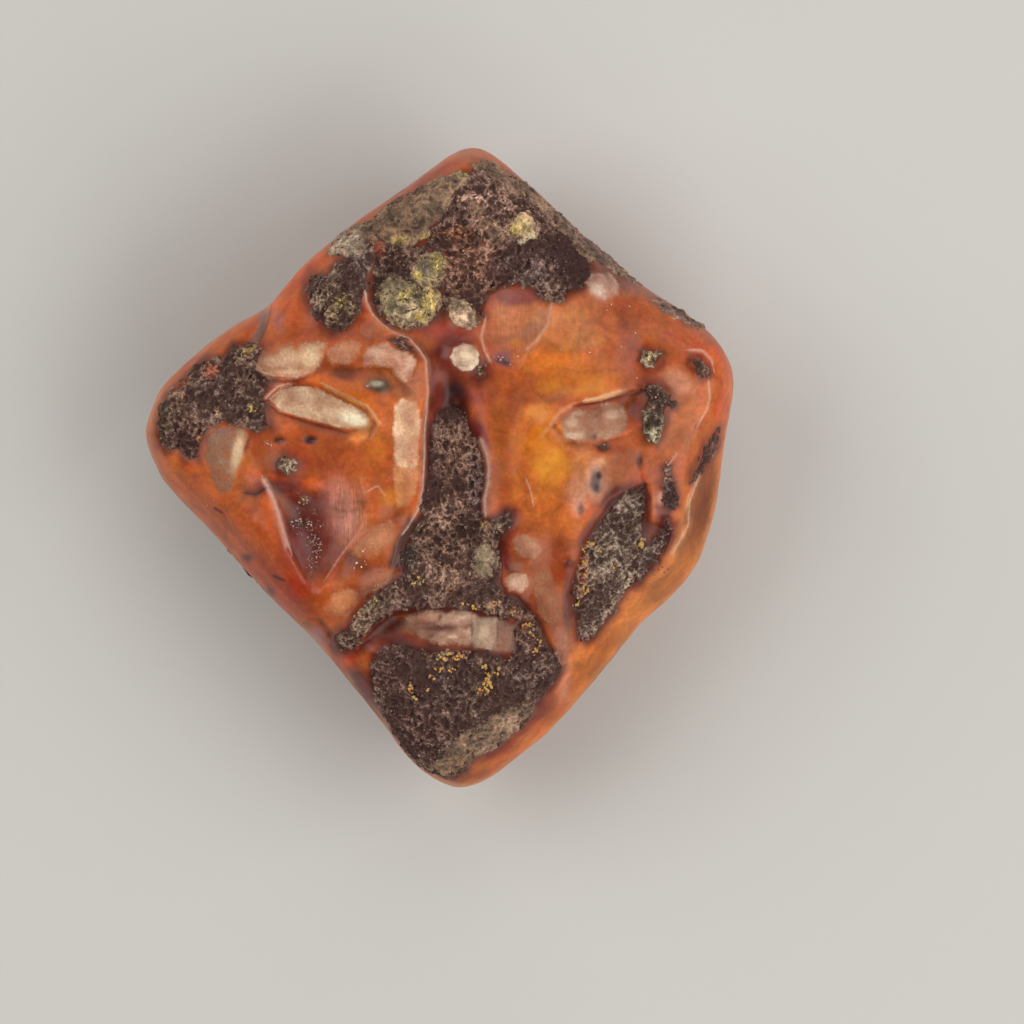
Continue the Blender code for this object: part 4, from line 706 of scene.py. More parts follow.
# The hairlines: which side of the nearest one a point is on and how far, and its strength near
# it. The side keeps the line whole where it runs between two points.
hair = np.full(len(flat), 1.0)
pale_line, dark_line = np.zeros(len(flat)), np.zeros(len(flat))
for strength, line in HAIRLINES:
    away, side = to_line(line)
    nearer = away < np.abs(hair)
    hair[nearer] = (away * side)[nearer]
    share = abs(strength) * ramp(1.6 - away / 0.25)
    pale_line[nearer] = share[nearer] * (strength > 0)
    dark_line[nearer] = share[nearer] * (strength < 0)
# The striated facets.
ribs = np.maximum(0.5 * spot(5.2, 10.2, 2.4, 2.4), spot(-6.6, -3.4, 1.7, 3.0))

# How clear the resin is: cloudy nearly everywhere, clearer in a few windows.
clear = np.full(len(points), 0.22)
for *place, much in [
    (7.8, 1.4, 2.6, 3.4, 0.25), (-6.6, 5.6, 3, 1.2, -20, 0.25), (9.6, 6, 4, 1.4, 5, 0.25),
    (1, 8, 2, 2.2, 0.3), (11, -14, 2.6, 1.4, 50, 0.25), (-10, -8.8, 2, 1.2, -45, 0.3),
    (-3.6, -2, 1.2, 0.9, 0.2), (-9.2, -4, 2, 3, 0.2), (9, 9.6, 3, 2, 0.2),
]:
    clear[seen] += much * spot(*place)
clear[seen] *= 1 - over * np.maximum(chalk, ramp(0.5 + rind))


def keep_values(mesh, name, values):
    """Stores one number for each vertex."""
    layer = mesh.attributes.new(name, "FLOAT", "POINT")
    layer.data.foreach_set("value", np.asarray(values, np.float32))


def keep_colours(mesh, name, values):
    layer = mesh.attributes.new(name, "FLOAT_COLOR", "POINT")
    layer.data.foreach_set("color", np.column_stack([values, np.ones(len(values))]).ravel())


def on_top(values, elsewhere=0.0):
    """Values of the upper side, and another on the rest."""
    whole = np.full((len(points), *values.shape[1:]), elsewhere, float)
    whole[seen] = values
    return whole


def covering(values):
    """A distance into a covering of the upper side, which ends at the rim at the latest."""
    cut = np.clip(values, -BEYOND, BEYOND) - 2 * BEYOND * (1 - over)
    return on_top(np.maximum(cut, -BEYOND), -BEYOND)


# Part of the light goes on into the resin, so the resin's own colour is the stronger for it.
tint *= np.array([1.36, 1.22, 1.0])
upper_end = np.max([inside(loop) for loop in RIND[3:6]], axis=0)
rest = np.max([inside(loop) for loop in RIND[1:3] + RIND[6:]], axis=0)
for name, values in [
    ("hollow", covering(hollow)), ("upper_end", covering(upper_end)), ("rest", covering(rest)),
    ("silt", covering(silt)), ("back", patches), ("film_reach", on_top(film, -BEYOND)),
    ("film_share", on_top(film_share * over)), ("hair", on_top(hair, 1.0)),
    ("pale_line", on_top(pale_line * over)), ("dark_line", on_top(dark_line * over)),
    ("ribs", on_top(ribs * over)), ("clear", clear),
]:
    keep_values(lump.data, name, values)
keep_colours(lump.data, "tint", tint)
keep_colours(lump.data, "film_tint", on_top(film_tint))


# The lump's chart, which the crusts keep: the piece seen from above, turned to fill a sheet that
# is so many millimetres from corner to corner, and below it the faces that look down.
SHEET = 68
mesh = lump.data
x, y, _ = read_points(mesh).T
u = (x + y) / SHEET + 0.5
v = (y - x) / SHEET + 0.5
corners = read(mesh.loops, "vertex_index", kind=np.int64)
sizes = read(mesh.polygons, "loop_total", kind=np.int64)
down = np.repeat(read(mesh.polygons, "normal", 3)[:, 2] < -0.1, sizes)
tall = np.where(down, v[corners] * 0.31, 0.32 + v[corners] * 0.68)
sheet = mesh.uv_layers.new(name="OFBake")
sheet.data.foreach_set("uv", np.column_stack([u[corners], tall]).ravel())


def new_material(name):
    """A material with only its shader, with the tree that holds it and that shader."""
    made = bpy.data.materials.new(name)
    made.use_nodes = True
    return made, made.node_tree, made.node_tree.nodes["Principled BSDF"]


def plug(node, inputs):
    """Links or sets inputs of a node."""
    for name, given in inputs.items():
        if isinstance(given, bpy.types.NodeSocket):
            node.id_data.links.new(given, node.inputs[name])
        else:
            node.inputs[name].default_value = given


def add(tree, kind, inputs=(), out=0, **settings):
    """Adds a node with its settings and links, and gives one of its outputs."""
    node = tree.nodes.new("ShaderNode" + kind)
    for name, setting in settings.items():
        setattr(node, name, setting)
    plug(node, dict(inputs))
    return node.outputs[out]


# Tumbled amber, satin. Part of the light goes in and comes back orange; clouds and fine mottling
# about 1 mm and 0.3 mm across hang in it. Where it is weathered it is pale and chalky, with a
# torn edge, and fine ribs run over two facets.
amber, tree, shader = new_material("tumbled_amber")
spread = add(tree, "TexCoord", out="Object")
film_reach, film_share, hair, dark_line, pale_line, ribs, clear = (
    add(tree, "Attribute", attribute_name=name, out="Fac")
    for name in ("film_reach", "film_share", "hair", "dark_line", "pale_line", "ribs", "clear")
)
clouds = add(tree, "TexNoise", {
    "Vector": spread, "Scale": 0.5 / MM, "Detail": 4.0, "Roughness": 0.6, "Distortion": 1.2,
})
mottle = add(
    tree, "TexNoise", {"Vector": spread, "Scale": 3.2 / MM, "Detail": 3.0, "Roughness": 0.6}
)
wisps = add(
    tree, "TexNoise", {"Vector": spread, "Scale": 0.9 / MM, "Detail": 3.0, "Distortion": 0.8}
)
wash = add(tree, "MapRange", {0: clouds, 1: 0.3, 2: 0.7, 3: 0.74, 4: 1.26})
flecks = add(tree, "MapRange", {0: mottle, 1: 0.3, 2: 0.7, 3: 0.86, 4: 1.14})
depth = add(tree, "Math", {0: wash, 1: flecks}, operation="MULTIPLY")
along = add(tree, "Mapping", {
    "Vector": spread, "Rotation": (0, 0, math.radians(6)), "Scale": (10, 0.7, 1),
})
rib = add(tree, "TexNoise", {"Vector": along, "Scale": 1 / MM, "Detail": 2.0})
rib = add(tree, "MapRange", {0: rib, 1: 0.35, 2: 0.65, 3: -0.2, 4: 0.2})
rib = add(tree, "Math", {0: rib, 1: ribs}, operation="MULTIPLY")
depth = add(tree, "Math", {0: rib, 1: depth, 2: depth}, operation="MULTIPLY_ADD")
turn = add(tree, "MapRange", {0: wisps, 1: 0.3, 2: 0.7, 3: 0.491, 4: 0.502})
colour = add(tree, "Attribute", attribute_name="tint", out="Color")
colour = add(tree, "HueSaturation", {"Hue": turn, "Color": colour, "Value": depth})
crumb = add(
    tree, "TexNoise", {"Vector": spread, "Scale": 4.5 / MM, "Detail": 2.0, "Roughness": 0.6}
)
film = add(tree, "Math", {0: crumb, 1: 0.8, 2: film_reach}, operation="MULTIPLY_ADD")
film = add(tree, "MapRange", {0: film, 1: 0.15, 2: 0.65})
film = add(tree, "Math", {0: film, 1: film_share}, operation="MULTIPLY")
sugar = add(tree, "MapRange", {0: crumb, 1: 0.3, 2: 0.7, 3: 0.82, 4: 1.18})
pale = add(tree, "Attribute", attribute_name="film_tint", out="Color")
pale = add(tree, "HueSaturation", {"Color": pale, "Value": sugar})
colour = add(tree, "Mix", {0: film, 6: colour, 7: pale}, out=2, data_type="RGBA")
# Hairlines: the pale ones are painted glints, the dark ones cracks and painted shadow lines.
hair = add(tree, "Math", {0: hair}, operation="ABSOLUTE")
hair = add(tree, "MapRange", {0: hair, 1: 0.02, 2: 0.1, 3: 1.0, 4: 0.0})
crack_and_shadow = add(tree, "Math", {0: hair, 1: dark_line}, operation="MULTIPLY")
glint = add(tree, "Math", {0: hair, 1: pale_line}, operation="MULTIPLY")
broken = add(tree, "MapRange", {0: mottle, 1: 0.3, 2: 0.65, 3: 0.25, 4: 1.0})
glint = add(tree, "Math", {0: glint, 1: broken}, operation="MULTIPLY")
for share, code in ((crack_and_shadow, "3a1812"), (glint, "ecc8b2")):
    layers = {0: share, 6: colour, 7: (*linear(code), 1)}
    colour = add(tree, "Mix", layers, out=2, data_type="RGBA")
satin = add(tree, "MapRange", {0: mottle, 1: 0.3, 2: 0.7, 3: 0.28, 4: 0.44})
satin = add(tree, "Math", {0: film, 1: 0.3, 2: satin}, operation="MULTIPLY_ADD")
tooth = add(tree, "Math", {0: film, 1: 0.07, 2: 0.014}, operation="MULTIPLY_ADD")
relief = add(tree, "Math", {0: crumb, 1: tooth}, operation="MULTIPLY")
relief = add(tree, "Math", {0: rib, 1: 0.04, 2: relief}, operation="MULTIPLY_ADD")
plug(shader, {
    "Base Color": colour,
    "Roughness": satin,
    "Transmission Weight": clear,
    "IOR": 1.54,
    "Specular IOR Level": 0.22,
    "Subsurface Weight": 0.3,
    "Subsurface Radius": (1.0, 0.35, 0.12),
    "Subsurface Scale": 0.6 * MM,
    "Normal": add(tree, "Bump", {"Height": relief, "Distance": MM}),
})
inner = add(tree, "VolumeAbsorption", {"Color": (0.95, 0.5, 0.12, 1), "Density": 45.0})
plug(tree.nodes["Material Output"], {"Volume": inner})
lump.data.materials.append(amber)
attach(lump, "root")
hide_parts("amber_piece")

# The dark rind
#
# Weathered crust left in the hollows: crumbled, oxidised resin with sand grown into it. It is
# dull and rough, stands a little proud of the resin, and its edges run under the surface.

# Colours of the rind: centre, half lengths, turn if any, colour, strength.
RIND_COLOURS = [
    (1.2, 0, 1.8, 5, "745344", 0.9), (0.8, 4, 1.2, 1.2, "4c302c", 0.8),
    (2.7, -1.4, 0.7, 2.6, "6e5652", 0.85), (-0.6, 0.5, 0.4, 3, "44201e", 0.8),
    (0.6, -6.6, 2.4, 2, "8e6c5a", 0.9), (0.8, -3.4, 1.4, 1.2, "8a6a5a", 0.8),
    (-2.1, -6.2, 0.8, 1.1, 20, "1c1a14", 0.95), (3.2, -6.4, 0.9, 1.1, "7e6a56", 0.9),
    (4.8, -3.8, 0.6, 1.1, -45, "86705a", 0.9), (-5.2, -10.4, 3, 0.9, 48, "6e5642", 0.9),
    (-1.6, -8.4, 1.6, 0.8, 10, "5e3e30", 0.8), (5.8, -10.6, 1, 2.4, 25, "5c3626", 0.8),
    (-3, -14.4, 2.4, 1.8, 20, "54342e", 0.9), (0.4, -15.4, 2.4, 1.8, "443430", 0.9),
    (2.6, -14.6, 1.6, 0.9, "4c3a30", 0.8), (6, -14.4, 1.6, 1.4, "5a423a", 0.8),
    (-2.4, -18.4, 2.6, 2, 30, "5c3e36", 0.9), (1.6, -18, 2.6, 2, "664c40", 0.9),
    (4.2, -17.6, 2, 1.2, 40, "7a604c", 0.9), (-0.6, -21, 1.6, 0.8, "6e5444", 0.8),
    (12.9, -3.8, 1.4, 1.8, -20, "7c6a5a", 0.95), (13.6, -2.6, 1, 1.1, "605044", 0.9),
    (13, -5.2, 1.1, 0.7, 20, "74665a", 0.8), (10.6, -11.2, 0.7, 1, -20, "84705f", 0.9),
    (12, -6, 1.8, 2, "847262", 0.95), (12.4, -8.4, 1.8, 1.4, 30, "705a4e", 0.9),
    (10.4, -10, 0.8, 1.4, 10, "806656", 0.9), (10, -7, 0.5, 2.6, -5, "4c2a22", 0.8),
    (14.9, -6.3, 0.9, 2.2, -35, "a08a7a", 0.95), (13.5, -8, 1, 0.9, "92806c", 0.9),
    (11.4, -10.2, 1.3, 1.5, -30, "8c7664", 0.9), (10.15, -7.2, 0.35, 2.2, -3, "9a6444", 0.8),
    (-18.4, 4.4, 2, 2.6, "785846", 0.9), (-19.4, 3.6, 0.6, 1.8, "7c6c50", 0.8),
    (-16, 5.2, 2, 1.8, "6c544a", 0.9), (-13.6, 6.6, 1.4, 2.2, "705646", 0.9),
    (-13.4, 4, 1.6, 1.2, "5e463a", 0.9), (-18, 2.2, 1.4, 1.2, "583630", 0.8),
    (-16.1, 6.9, 0.7, 0.55, 20, "96482c", 0.85), (-8, 12.6, 1.4, 1.6, "88705e", 0.9),
    (-7, 11.4, 1.2, 1.4, "86704e", 0.9), (-5.4, 14.4, 0.9, 1.8, -10, "746258", 0.9),
    (-9.2, 12.4, 0.5, 1.4, "5e3438", 0.8), (2, 14.6, 2.2, 2.6, "926650", 0.95),
    (3.6, 18.4, 2.6, 1.8, -20, "b08a78", 0.9), (1.4, 16.6, 1.6, 0.6, "86502e", 0.8),
    (6, 14.4, 1.8, 1.2, "604844", 0.9), (6.6, 13.5, 1.2, 0.8, "7c6860", 0.8),
    (9.3, 14.8, 1.3, 2.2, 30, "40282c", 0.95), (5.4, 19.6, 1.8, 1, -35, "6c4c3e", 0.8),
    (-3.8, 14.6, 1, 0.8, "543a32", 0.9), (-2.2, 12, 2.2, 2.2, "54442c", 0.8),
    (15.5, 5.2, 1.4, 0.9, -30, "4e3e30", 0.9), (15.2, 3, 0.95, 1.3, "9e987a", 0.9),
    (15.2, 3.3, 0.4, 0.4, "302c26", 0.95), (18.5, 7.2, 0.9, 0.9, "5a382c", 0.9),
    (19, 1, 0.8, 2.4, -30, "5a362c", 0.9), (-10.7, 0.2, 1, 0.9, "8c7860", 0.95),
    (15, 7.8, 0.9, 0.8, "8e7c62", 0.9), (3, 7, 0.5, 0.7, "726650", 0.9),
    (16.2, -1.8, 0.5, 1.3, 10, "54383a", 0.9), (-2.4, 8.8, 1, 0.6, -40, "54302a", 0.9),
]
# Bright yellow weathering on lumps and in a few other places, in the same order.
SULPHUR = [
    (-0.75, 11.8, 0.5, 0.95, "e2c67a", 0.95), (-0.1, 14.5, 0.45, 0.65, "dcc274", 0.95),
    (-1.4, 13.5, 0.4, 0.35, "ccb468", 0.9), (-2.4, 12.1, 0.55, 0.4, 30, "d4bc74", 0.9),
    (-1.3, 10.7, 0.4, 0.4, "bca458", 0.8), (-3.7, 12, 0.25, 0.7, "a0906a", 0.6),
    (-6.9, 11.8, 0.4, 0.35, "a8984c", 0.9), (5.4, 17, 0.5, 0.4, "c8b068", 0.9),
    (6.3, 16.4, 0.9, 0.25, 35, "d4c0a0", 0.8), (-13.6, 8.2, 0.8, 0.2, 42, "ccac58", 0.9),
    (14.25, -5.35, 0.25, 0.45, -20, "d8b068", 0.95), (-13.1, 4.2, 0.4, 0.2, "c8b060", 0.9),
    (-2.8, 16.3, 0.6, 0.3, 20, "a08c50", 0.8), (-1, 16.5, 0.5, 0.3, "a08c50", 0.8),
    (1.7, 20.8, 0.5, 0.3, 20, "b09c5c", 0.8), (-20, 3.7, 0.3, 0.5, "b0a058", 0.9),
    (15, 7.9, 0.35, 0.25, "d8ca8c", 0.9), (-1.5, -8, 0.4, 0.25, 30, "b8a060", 0.8),
    (3.3, -3.9, 0.25, 0.25, "c8a850", 0.9), (3.5, 6.3, 0.25, 0.25, "b09c50", 0.8),
    (-4.2, 15.3, 0.4, 0.3, "c4542c", 0.9), (-16.9, 2, 0.2, 0.35, "c8702c", 0.9),
    (-16, 4.2, 1, 0.15, -20, "8c6a34", 0.7),
]


# How deep the edge of a crust runs under the surface, in millimetres.
EDGE_DEPTH = 0.28
# Layers of the lump that a crust doesn't need: where the crusts lie, and the resin's own.
COVERINGS = ("calm", "hollow", "upper_end", "rest", "silt", "back")
RESIN_LAYERS = (
    "film_reach", "film_share", "hair", "pale_line", "dark_line", "ribs", "clear", "tint",
    "film_tint",
)


def read_values(mesh, name):
    return read(mesh.attributes[name].data, "value", kind=np.float32)


def remove_layers(mesh, names):
    for name in names:
        mesh.attributes.remove(mesh.attributes[name])


def new_crust(name, covers, edge, thick, clods, cuts, seed):
    """Copies the lump's faces under a covering, and a little past its edge, as a crust of its
    own. Cuts them finer and roughens them: proud in the middle, sunk along the edge, and
    pitted between thin ridges. The edge, the thickness and the clods are in millimetres."""
    crust = put(name, lump.data.copy())
    crust.data.materials.clear()
    mesh = crust.data
    reach = read_values(mesh, covers)
    pick(crust)
    bpy.ops.object.mode_set(mode="EDIT")
    bpy.ops.mesh.select_mode(type="VERT")
    bpy.ops.mesh.select_all(action="DESELECT")
    bpy.ops.object.mode_set(mode="OBJECT")
    mesh.vertices.foreach_set("select", reach < -edge)
    bpy.ops.object.mode_set(mode="EDIT")
    bpy.ops.mesh.delete(type="VERT")
    bpy.ops.mesh.select_all(action="SELECT")
    bpy.ops.mesh.subdivide(number_cuts=cuts)
    bpy.ops.object.mode_set(mode="OBJECT")
    reach, calm = read_values(mesh, covers), read_values(mesh, "calm")
    spots, aims = read_points(mesh), read_normals(mesh)
    broad = wander(spots, 0.7, 2, seed)
    lumps = wander(spots, 1.7, 2, seed + 1)
    web = 1 - 4 * np.abs(wander(spots, 1.7, 2, seed + 2))
    crumbs = wander(spots, 4.5, 2, seed + 3)
    body = ramp((reach + edge) / (edge + 0.35) + 0.3 * broad + 0.25 * lumps)
    rough = np.clip(0.4 * lumps + 0.6 * web + 0.5 * crumbs + 0.2 * broad, -1.1, 1.1)
    rough = rough * (1 - 0.7 * calm) - 0.3 * calm
    away = -EDGE_DEPTH + (EDGE_DEPTH + thick) * body + clods * rough * (0.25 + 0.75 * body)
    spots += aims * away[:, None]
    spots[:, 2] = np.maximum(spots[:, 2], 0.0)
    write_points(mesh, spots)
    keep_values(mesh, "knob", np.clip(0.5 + 0.45 * rough, 0, 1))
    keep_values(mesh, "reach", reach)
    veins = 1 - 3.5 * np.abs(wander(spots, 1.1, 3, seed + 5))
    tone = np.clip(1.5 * wander(spots, 0.55, 4, seed + 4) + 0.45 * veins - 1.2 * calm, -1, 1)
    keep_values(mesh, "tone", tone)
    remove_layers(mesh, COVERINGS + RESIN_LAYERS)
    return crust


grime = np.tile(linear("5a4036"), (len(points), 1))
stain(grime, "705444", 0.8 * ramp(0.3 + 1.4 * far))
upper = grime[seen]
dab(upper, RIND_COLOURS + SULPHUR)
grime[seen] = upper
keep_colours(lump.data, "grime", grime)
# In a few places the rind is smooth and darker.
calm = np.maximum(0.8 * spot(9.3, 15.0, 1.4, 2.3, 35), 0.7 * spot(-0.6, -1.4, 0.6, 1.8))
calm *= ramp(0.7 + 0.9 * wander(points[seen], 0.9, 3, seed=14))
calm = np.maximum(calm, 0.9 * spot(1.2, 4.2, 1.0, 0.8))
keep_values(lump.data, "calm", on_top(calm))
rinds = [
    new_crust("hollow_rind", "hollow", 0.45, 0.05, 0.14, 2, 20),
    new_crust("upper_rind", "upper_end", 0.45, 0.05, 0.14, 2, 24),
    new_crust("edge_rind", "rest", 0.45, 0.05, 0.14, 2, 32),
    new_crust("back_rind", "back", 0.5, 0.08, 0.14, 1, 28),
]

# Crumbled rind, dull. It is painted darker in its pits and paler on its ridges by their height,
# partly as painted shade and painted highlights over its own dark red brown and grey brown;
# grains 0.15 mm across show as paler specks, and it is darkest red along its edge.
crumbled, tree, shader = new_material("crumbled_rind")
spread = add(tree, "TexCoord", out="Object")
tone, knob, reach = (
    add(tree, "Attribute", attribute_name=name, out="Fac") for name in ("tone", "knob", "reach")
)
grit = add(
    tree, "TexNoise", {"Vector": spread, "Scale": 6.0 / MM, "Detail": 3.0, "Roughness": 0.7}
)
tangle = add(
    tree, "TexNoise", {"Vector": spread, "Scale": 3.2 / MM, "Detail": 2.0, "Distortion": 1.2}
)
thread = add(tree, "Math", {0: tangle, 1: 0.5}, operation="SUBTRACT")
thread = add(tree, "Math", {0: thread}, operation="ABSOLUTE")
thread = add(tree, "MapRange", {0: thread, 1: 0.0, 2: 0.06, 3: 0.34, 4: 0.0})
shade = add(tree, "Math", {0: knob, 1: 0.8, 2: thread}, operation="MULTIPLY_ADD")
shade = add(tree, "Math", {0: grit, 1: 0.9, 2: shade}, operation="MULTIPLY_ADD")
shade = add(tree, "Math", {0: tone, 1: 0.27, 2: shade}, operation="MULTIPLY_ADD")
shade = add(tree, "Math", {0: shade, 1: 1.05}, operation="SUBTRACT")
value = add(tree, "Math", {0: 14.0, 1: shade}, operation="POWER")
value = add(tree, "Math", {0: value, 1: 0.32}, operation="MAXIMUM")
colour = add(tree, "Attribute", attribute_name="grime", out="Color")
colour = add(tree, "HueSaturation", {"Color": colour, "Value": value})
red = add(tree, "MapRange", {0: shade, 1: -0.4, 2: 0.25, 3: 0.75, 4: 0.0})
pale = add(tree, "MapRange", {0: shade, 1: 0.1, 2: 0.6, 3: 0.0, 4: 0.5})
border = add(tree, "MapRange", {0: reach, 1: -0.1, 2: 0.4, 3: 0.5, 4: 0.0})
for share, code in ((red, "46221c"), (pale, "a59583"), (border, "3c1a18")):
    layers = {0: share, 6: colour, 7: (*linear(code), 1)}
    colour = add(tree, "Mix", layers, out=2, data_type="RGBA")
bump = add(tree, "Bump", {"Height": grit, "Distance": 0.1 * MM})
plug(shader, {"Base Color": colour, "Roughness": 0.8, "Normal": bump})
for crust in rinds:
    crust.data.materials.append(crumbled)
    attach(crust, "root")

# The silt
#
# Grey and tan mud of silt and fine sand, which settled on the lump and dried hard over the rind
# along the upper edges, in some hollows and round the lower tip. It clings by itself.

# Colours of the silt: centre, half lengths, turn if any, colour, strength.
SILT_COLOURS = [
    (-2.6, 17.6, 3.4, 1.6, 32, "745a44", 0.9), (-6.4, 15.9, 1.4, 0.8, 30, "e0c4a8", 0.95),
    (-4.6, 16.4, 1.2, 0.6, 20, "6c4e3c", 0.7), (0, 19, 1.8, 1.2, 30, "8e7058", 0.9),
    (4.2, 20.4, 2.2, 0.8, -32, "806250", 0.9), (3, 17.4, 1.8, 0.6, -48, "84644e", 0.9),
    (11, 15.6, 3.6, 0.7, -41, "84685c", 0.9), (16.8, 11.2, 2.6, 0.6, -28, "806258", 0.9),
    (3.8, -18.6, 3.4, 1.2, 38, "7c624e", 0.95), (1.2, -20.8, 1.2, 0.8, 20, "86684a", 0.9),
    (3.2, -6.4, 1.1, 1.4, "74644e", 0.95), (6, 17, 1.2, 1.2, "a88e68", 0.9),
    (1.6, 11, 1.3, 1.1, -35, "bc9c80", 0.95), (-2.3, 11.8, 2.2, 2, "b8a27c", 0.95),
    (-0.7, 14.2, 1.3, 1.2, "aa966e", 0.95), (-1.6, 12.1, 0.35, 0.5, 10, "54463c", 0.9),
    (-0.9, 14.1, 0.5, 0.5, "5c544c", 0.9), (-2.6, 11.4, 0.6, 0.3, "5c5044", 0.8),
    (-1.6, 10.7, 0.3, 0.25, "5c5244", 0.7), (-3.2, 12.9, 0.5, 0.3, 30, "6c6050", 0.7),
]
grime = np.tile(linear("866a54"), (len(points), 1))
upper = grime[seen]
dab(upper, SILT_COLOURS + SULPHUR)
grime[seen] = upper
remove_layers(lump.data, ["grime"])
keep_colours(lump.data, "grime", grime)
packed_silt = new_crust("packed_silt", "silt", 0.45, 0.16, 0.09, 1, 40)

# Dried silt, matt. Finer and paler than the rind, with soft darker hollows.
dried, tree, shader = new_material("dried_silt")
spread = add(tree, "TexCoord", out="Object")
tone, knob = (
    add(tree, "Attribute", attribute_name=name, out="Fac") for name in ("tone", "knob")
)
grit = add(
    tree, "TexNoise", {"Vector": spread, "Scale": 7.0 / MM, "Detail": 3.0, "Roughness": 0.7}
)
shade = add(tree, "Math", {0: knob, 1: 0.6, 2: grit}, operation="MULTIPLY_ADD")
shade = add(tree, "Math", {0: tone, 1: 0.3, 2: shade}, operation="MULTIPLY_ADD")
shade = add(tree, "Math", {0: shade, 1: 0.88}, operation="SUBTRACT")
shade = add(tree, "Math", {0: 9.0, 1: shade}, operation="POWER")
colour = add(tree, "Attribute", attribute_name="grime", out="Color")
colour = add(tree, "HueSaturation", {"Color": colour, "Value": shade})
bump = add(tree, "Bump", {"Height": grit, "Distance": 0.08 * MM})
plug(shader, {"Base Color": colour, "Roughness": 0.85, "Normal": bump})
packed_silt.data.materials.append(dried)
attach(packed_silt, "root")
# Under the crusts the resin lies this much deeper, in millimetres, below their pits.
UNDER_CRUSTS = 0.35
remove_layers(lump.data, ("grime", *COVERINGS))
under = on_top(ramp((np.maximum(rind, silt) - 0.15) / 0.5) * over)
under = np.maximum(under, ramp((patches - 0.15) / 0.5))
points -= normals * (UNDER_CRUSTS * under)[:, None]
points[:, 2] = np.maximum(points[:, 2], 0.0)
write_points(lump.data, points)

# The loose grains
#
# Sand, crumbs of rind and gold brown resin dust, 0.1 to 0.4 mm across, stuck into the rind and
# the silt, with a few tiny pale specks on the bare resin.

GRAIN_SHAPES = 6
bpy.ops.mesh.primitive_ico_sphere_add(subdivisions=1, radius=1)
pebble = bpy.context.object
ball = read_points(pebble.data) * MM
ball_faces = np.array([tuple(face.vertices) for face in pebble.data.polygons])
bpy.data.objects.remove(pebble)
dice = np.random.default_rng(5)
shapes = [ball * dice.uniform(0.65, 1.25, (len(ball), 1)) for _ in range(GRAIN_SHAPES)]
# What the grains are made of: colour and roughness.
FINISHES = {}
for name, code, dull in [
    ("dark_crumb", "3c2420", 0.7), ("brown_crumb", "6e4a3c", 0.75), ("beige_sand", "9c7c6c", 0.6),
    ("grey_sand", "84726a", 0.6), ("pale_sand", "b8998a", 0.5), ("gold_dust", "d09c50", 0.45),
    ("yellow_dust", "bca45c", 0.6), ("resin_chip", "8a3a18", 0.35), ("white_speck", "e0ccb8", 0.3),
]:
    FINISHES[name], _, shader = new_material(name)
    plug(shader, {"Base Color": (*linear(code), 1), "Roughness": dull})


def strew(name, places, sizes, kinds, blend):
    """Makes one piece of grains at these places: each a shape turned at random, with one of
    the finishes of its kind."""
    used = sorted({finish for kind in blend for finish, _ in kind})
    verts, faces, slots = [], [], []
    for number, (spot_at, size, kind) in enumerate(zip(places, sizes, kinds)):
        turn = np.array(Euler(dice.uniform(0, 6.3, 3)).to_matrix())
        squash = dice.uniform(0.6, 1.3, 3)
        verts.append((shapes[number % GRAIN_SHAPES] * squash) @ turn.T * size + spot_at)
        faces.append(ball_faces + number * len(ball))
        names, odds = zip(*blend[kind])
        slots.append(used.index(dice.choice(names, p=np.array(odds) / sum(odds))))
    mesh = bpy.data.meshes.new(name)
    mesh.from_pydata(np.vstack(verts) * MM, [], np.vstack(faces).tolist())
    for finish in used:
        mesh.materials.append(FINISHES[finish])
    mesh.polygons.foreach_set("material_index", np.repeat(slots, len(ball_faces)))
    mesh.update()
    piece = put(name, mesh)
    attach(piece, "root")


def on_crust(crust, each_mm2):
    """Picks points spread evenly over the part of a crust that shows, with its normals, and
    says where the crust is light."""
    mesh = crust.data
    pick_at = np.random.default_rng(11)
    first = np.array([face.vertices[0] for face in mesh.polygons])
    shows = read_values(mesh, "reach")[first] > -0.05
    areas = read(mesh.polygons, "area") / MM**2 * shows
    chosen = pick_at.choice(len(areas), int(areas.sum() * each_mm2), p=areas / areas.sum())
    tone = read_values(mesh, "tone")[first[chosen]]
    light = tone + pick_at.uniform(-0.5, 0.5, len(chosen)) > 0.15
    middles, aims = read(mesh.polygons, "center", 3), read(mesh.polygons, "normal", 3)
    return middles[chosen] / MM, aims[chosen], light.astype(int)


# Finishes of the grains on the dark and on the light places of a crust, with their shares.
DARK_MIX = [
    [("dark_crumb", 8), ("brown_crumb", 5), ("beige_sand", 1)],
    [("brown_crumb", 6), ("beige_sand", 5), ("grey_sand", 3), ("pale_sand", 0.6)],
]
SILT_MIX = [
    [("dark_crumb", 2), ("brown_crumb", 6), ("beige_sand", 2), ("grey_sand", 2)],
    [("brown_crumb", 1), ("beige_sand", 6), ("grey_sand", 3), ("pale_sand", 1)],
]
# Crust, grains on each square millimetre of it, their typical half width, and finishes.
for name, crust, each_mm2, typical, mix in [
    ("hollow_grains", rinds[0], 8.0, 0.055, DARK_MIX),
    ("upper_grains", rinds[1], 8.0, 0.055, DARK_MIX),
    ("edge_grains", rinds[2], 8.0, 0.055, DARK_MIX),
    ("back_grains", rinds[3], 4.0, 0.07, DARK_MIX),
    ("silt_grains", packed_silt, 8.0, 0.05, SILT_MIX),
]:
    places, aims, light = on_crust(crust, each_mm2)
    sizes = dice.lognormal(math.log(typical), 0.35, len(places)).clip(0.03, 0.16)
    strew(name, places + aims * sizes[:, None] * 0.3, sizes, light, mix)

